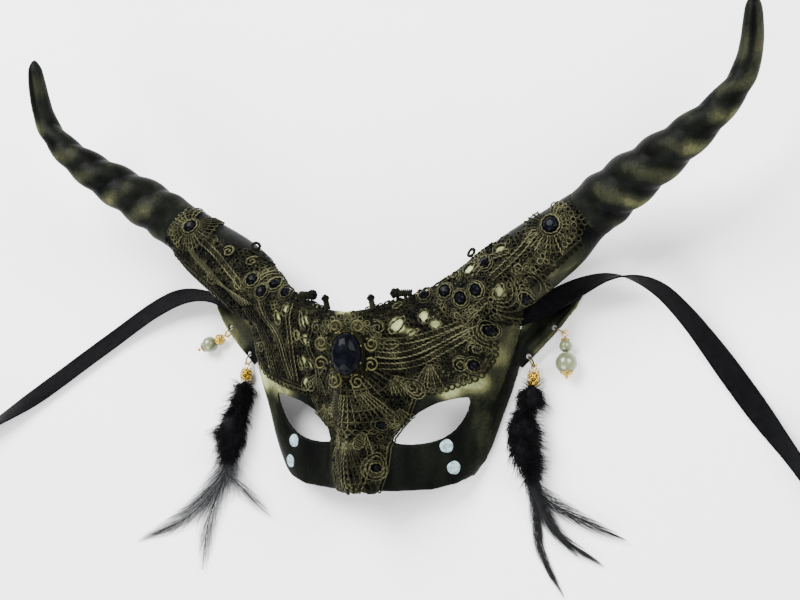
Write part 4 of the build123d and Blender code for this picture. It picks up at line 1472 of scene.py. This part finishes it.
def filigree(wires, drop, start, end, radius, turns, seed):
    """A bead of gold wire loops over a core, with grains between them."""
    rolls = random.Random(seed)
    middle, half = (start + end) / 2, (end - start) / 2
    wave = round_angles(18)
    for row in range(turns):
        share = -0.72 + 1.44 * row / (turns - 1)
        place = middle + half * share
        size = radius * math.sqrt(1 - (share * 0.86) ** 2)
        for index in range(5):
            angle = 2 * math.pi * (index + 0.5 * (row % 2)) / 5
            out = drop.side * math.cos(angle) + drop.top * math.sin(angle)
            beside = np.cross(drop.way, out)
            centre = drop.at(place) + out * size * 0.86
            loop = (centre + beside * (size * 0.42 * np.cos(wave))[:, None]
                    + drop.way * (half * 0.34 * np.sin(wave))[:, None]
                    - out * (size * 0.1 * np.cos(wave) ** 2)[:, None])
            wires.tube(loop, 0.2, np.tile(out, (18, 1)), closed=True, gilt_and_painted_light=0.95)
            grain = drop.at(place + half * 0.18) + unit(out + beside * 0.75) * size * 0.95
            wires.bead(grain, rolls.uniform(0.32, 0.5), out, gilt_and_painted_light=1.0)
            wires.bead(centre, rolls.uniform(0.3, 0.42), out, gilt_and_painted_light=1.0)


def gold_core(wires, drop, start, end, radius):
    """The dark inside of a filigree bead."""
    count = 9
    path = np.array([drop.at(start + (end - start) * i / (count - 1)) for i in range(count)])
    shares = np.linspace(-1, 1, count)
    wires.tube(path, radius * np.sqrt(1.04 - shares**2) * 0.72, gilt_and_painted_light=0.0)


def gold_piece(wires, name, body, node):
    settle(wires.piece(name, gold), body, "gold_wire", node)


def make_right_pearls():
    right = drops["right_pearl"]
    pin = Cords(8)
    eye_pin(pin, right, 21.5)
    pin.bead(right.at(21.4), 0.85, right.way, gilt_and_painted_light=1.0)
    gold_piece(pin, "right_pearl_eye_pin", "right_pearl_drop", "right_pearl_pin")
    make_pearl("right_small_round_pearl", right, 6.2, 3.0, "right_pearl_drop",
               "right_small_pearl")
    make_pearl("right_big_round_pearl", right, 14.4, 5.0, "right_pearl_drop", "right_big_pearl")
    upper, lower = Cords(7), Cords(7)
    petal_cap(upper, right, 2.6, 2.0, 1)
    petal_cap(lower, right, 20.2, 2.9, -1)
    gold_piece(upper, "right_upper_petal_cap", "right_pearl_drop", "right_upper_cap")
    gold_piece(lower, "right_lower_petal_cap", "right_pearl_drop", "right_lower_cap")


def make_left_pearls():
    left = drops["left_pearl"]
    pin = Cords(8)
    eye_pin(pin, left, 17.0)
    pin.bead(left.at(16.9), 0.8, left.way, gilt_and_painted_light=1.0)
    gold_piece(pin, "left_pearl_eye_pin", "left_pearl_drop", "left_pearl_pin")
    make_pearl("left_round_pearl", left, 10.2, 4.1, "left_pearl_drop", "left_pearl")
    cluster, lower = Cords(7), Cords(7)
    gold_core(cluster, left, 2.3, 5.8, 2.6)
    filigree(cluster, left, 2.2, 5.9, 2.9, 3, 3)
    gold_piece(cluster, "left_wound_cluster", "left_pearl_drop", "left_bead_cluster")
    petal_cap(lower, left, 15.0, 2.4, -1)
    gold_piece(lower, "left_lower_petal_cap", "left_pearl_drop", "left_lower_cap")


def make_feather_tops():
    for side, seed in (("right", 7), ("left", 9)):
        drop, body = drops[f"{side}_feather"], f"{side}_feather_drop"
        pin, bead = Cords(8), Cords(7)
        eye_pin(pin, drop, 9.2)
        gold_piece(pin, f"{side}_feather_eye_pin", body, f"{side}_feather_pin")
        gold_core(bead, drop, 2.3, 8.7, 2.9)
        filigree(bead, drop, 2.1, 8.8, 3.3, 4, seed)
        gold_piece(bead, f"{side}_wound_filigree", body, f"{side}_filigree_bead")


for name in drops:
    jump_ring(name)
make_right_pearls()
make_left_pearls()
make_feather_tops()

# ---- fur and feathers -----------------------------------------------------------------------
# line through each tuft: x, y, z, radius
right_tuft = np.array([
    (77.0, -33.9, 4.1, 1.6), (76.8, -36.0, 5.2, 3.8), (76.2, -39.5, 5.7, 4.6),
    (75.2, -43.0, 5.4, 3.8), (74.3, -45.6, 5.0, 1.5), (73.2, -48.0, 5.6, 4.0),
    (73.1, -53.5, 7.2, 6.6), (73.8, -60.0, 7.4, 6.8), (75.0, -66.0, 6.3, 5.2),
    (76.6, -71.5, 4.6, 2.8), (78.3, -78.0, 3.0, 1.0),
])
left_tuft = np.array([
    (-76.4, -34.0, 4.1, 1.4), (-76.5, -37.0, 5.0, 3.3), (-76.8, -41.0, 5.4, 4.0),
    (-77.6, -46.0, 5.4, 3.7), (-78.4, -50.0, 5.8, 4.4), (-80.0, -56.0, 6.8, 6.0),
    (-81.2, -62.0, 6.6, 6.1), (-82.4, -68.0, 5.2, 4.2), (-83.8, -75.0, 3.0, 1.4),
])
HAIR_TAPER = np.array([0.13, 0.12, 0.09, 0.055, 0.02])
HAIRS = 6000
LOCK_HAIRS = 12
FLOOR_CLEARANCE = 0.25
FACE_SIDE_REACH = 6.0               # of fur towards the cheek, so that it swings clear


def make_tuft(stations, name, body, node, seed):
    """Fur: a dark core, and hairs that start inside it and lie back towards its end."""
    rolls = random.Random(seed)
    line = curve_through(stations, 0.5)
    path, radii = line[:, :3], line[:, 3]
    tangents = unit(np.gradient(path, axis=0))
    normals = carried_normals(path)
    beside = np.cross(tangents, normals)
    core = Cords(12)
    core.tube(path, radii * 0.92, normals, gilt_and_painted_light=0.0)
    strands = Cords(3)
    face_side = -np.sign(path[0, 0])
    for lock in range(HAIRS // LOCK_HAIRS):
        at = int(len(path) * rolls.random() * 0.98)
        if radii[at] < 2.4 and at < len(path) * 0.7:
            continue
        angle = rolls.uniform(0, 2 * math.pi)
        out = normals[at] * math.cos(angle) + beside[at] * math.sin(angle)
        lean = rolls.uniform(-0.15, 0.7) + 0.15 * at / len(path)
        wander = np.array([rolls.gauss(0, 1) for axis in range(3)]) * 0.18
        aim = unit(out * (1 - lean) + tangents[at] * lean + wander)
        reach = (radii[at] * rolls.uniform(0.4, 0.8) + rolls.uniform(2.0, 5.0)
                 + rolls.choice((0, 0, 4)))
        for strand in range(LOCK_HAIRS):
            jitter = np.array([rolls.gauss(0, 1) for axis in range(3)])
            place = path[at] + out * radii[at] * 0.72 + jitter * 0.8
            way = unit(aim + jitter * 0.11)
            length = reach * rolls.uniform(0.55, 1.05)
            hair = []
            for share in np.linspace(0, 1, len(HAIR_TAPER)):
                hair.append(place)
                bend = unit(way + tangents[at] * 0.5 * share - jitter * 0.1 * share)
                place = place + bend * length / len(HAIR_TAPER)
            hair = np.array(hair)
            hair[:, 2] = np.maximum(hair[:, 2], FLOOR_CLEARANCE)
            reach_in = (hair[:, 0] - path[at, 0]) * face_side
            hair[:, 0] = path[at, 0] + face_side * np.minimum(reach_in, FACE_SIDE_REACH)
            strands.tube(hair, HAIR_TAPER, gilt_and_painted_light=0.2)
    core.store(np.vstack(strands.points), strands.faces, np.concatenate(strands.wear_and_painted_light))
    settle(core.piece(name, fur), body, "fur", node)


# start, middle and tip of each feather, height over the floor, width
right_blades = [
    ((78.6, -80.6), (82, -108), (94.1, -129.7), 0.4, 8.0),
    ((79.0, -80.6), (91, -101), (112.6, -114.6), 1.5, 9.0),
    ((79.4, -80.6), (98, -92.5), (123.0, -102.3), 2.6, 12.0),
    ((78.8, -80.6), (86, -96), (101, -111), 3.7, 10.0),
]
left_blades = [
    ((-84.8, -78.2), (-105, -103), (-135.5, -117.9), 0.4, 19.0),
    ((-84.6, -78.2), (-93, -105), (-94.9, -130.0), 1.5, 23.0),
    ((-84.4, -78.2), (-74, -88), (-57.0, -101.3), 2.6, 18.0),
    ((-84.7, -78.2), (-101, -97), (-117, -106), 3.7, 15.0),
]
BARB_SPACING = 0.26
BARB_TAPER = np.array([1.0, 1.0, 0.9, 0.75, 0.5, 0.25])


def make_hackles(blades, root, name, body, node, seed, thickness, pale):
    """Feathers with a black tapered shaft and hundreds of separate long fine barbs."""
    rolls = random.Random(seed)
    strands = Cords(3)
    shafts = Cords(6)
    for start, middle, tip, height, width in blades:
        inner = (root[0] + rolls.uniform(-2, 1), root[1] + rolls.uniform(11, 16),
                 root[2] + rolls.uniform(0.5, 2.5))
        spine = [inner, (*start, height + 1.4), (*middle, height + 0.6), (*tip, height + 0.35)]
        path = curve_through(spine, BARB_SPACING)
        total = len(path)
        part = np.linspace(0, 1, total)
        tangents = unit(np.gradient(path, axis=0))
        level = unit(np.cross(UP, tangents))
        shafts.tube(path, 0.34 * (1 - part) + 0.08, gilt_and_painted_light=0.0)
        ease = np.sin(np.linspace(0, math.pi / 2, len(BARB_TAPER))) ** 0.8
        for row in range(int(total * 0.03), total - 5):
            for side in (1, -1):
                last = min(total - 1, row + int(rolls.uniform(9, 22) / BARB_SPACING))
                rows = np.linspace(row, last, len(BARB_TAPER)).astype(int)
                aside = rolls.uniform(0.25, 1.2) * width / 2 * (1 - part[last]) ** 0.55
                barb = path[rows] + level[rows] * side * (aside * ease)[:, None]
                barb[:, 2] = np.maximum(barb[:, 2] - rolls.uniform(0.1, 0.5) * ease, 0.1)
                strands.tube(barb, thickness * BARB_TAPER, gilt_and_painted_light=pale * rolls.uniform(0.3, 1.0))
    shafts.store(np.vstack(strands.points), strands.faces, np.concatenate(strands.wear_and_painted_light))
    settle(shafts.piece(name, barbs), body, "hackle", node)


make_tuft(right_tuft, "right_soft_fur", "right_feather_drop", "right_fur_tuft", 61)
make_tuft(left_tuft, "left_soft_fur", "left_feather_drop", "left_fur_tuft", 67)
make_hackles(right_blades, right_tuft[-1], "right_hackle_feathers", "right_feather_drop",
             "right_hackles", 71, 0.075, 0.4)
make_hackles(left_blades, left_tuft[-1], "left_hackle_feathers", "left_feather_drop",
             "left_hackles", 73, 0.05, 1.0)

settle(coil_tie("right_coil_tie", RIGHT_COIL, 245), "root", "satin")
settle(coil_tie("left_coil_tie", LEFT_COIL, 275), "root", "satin")
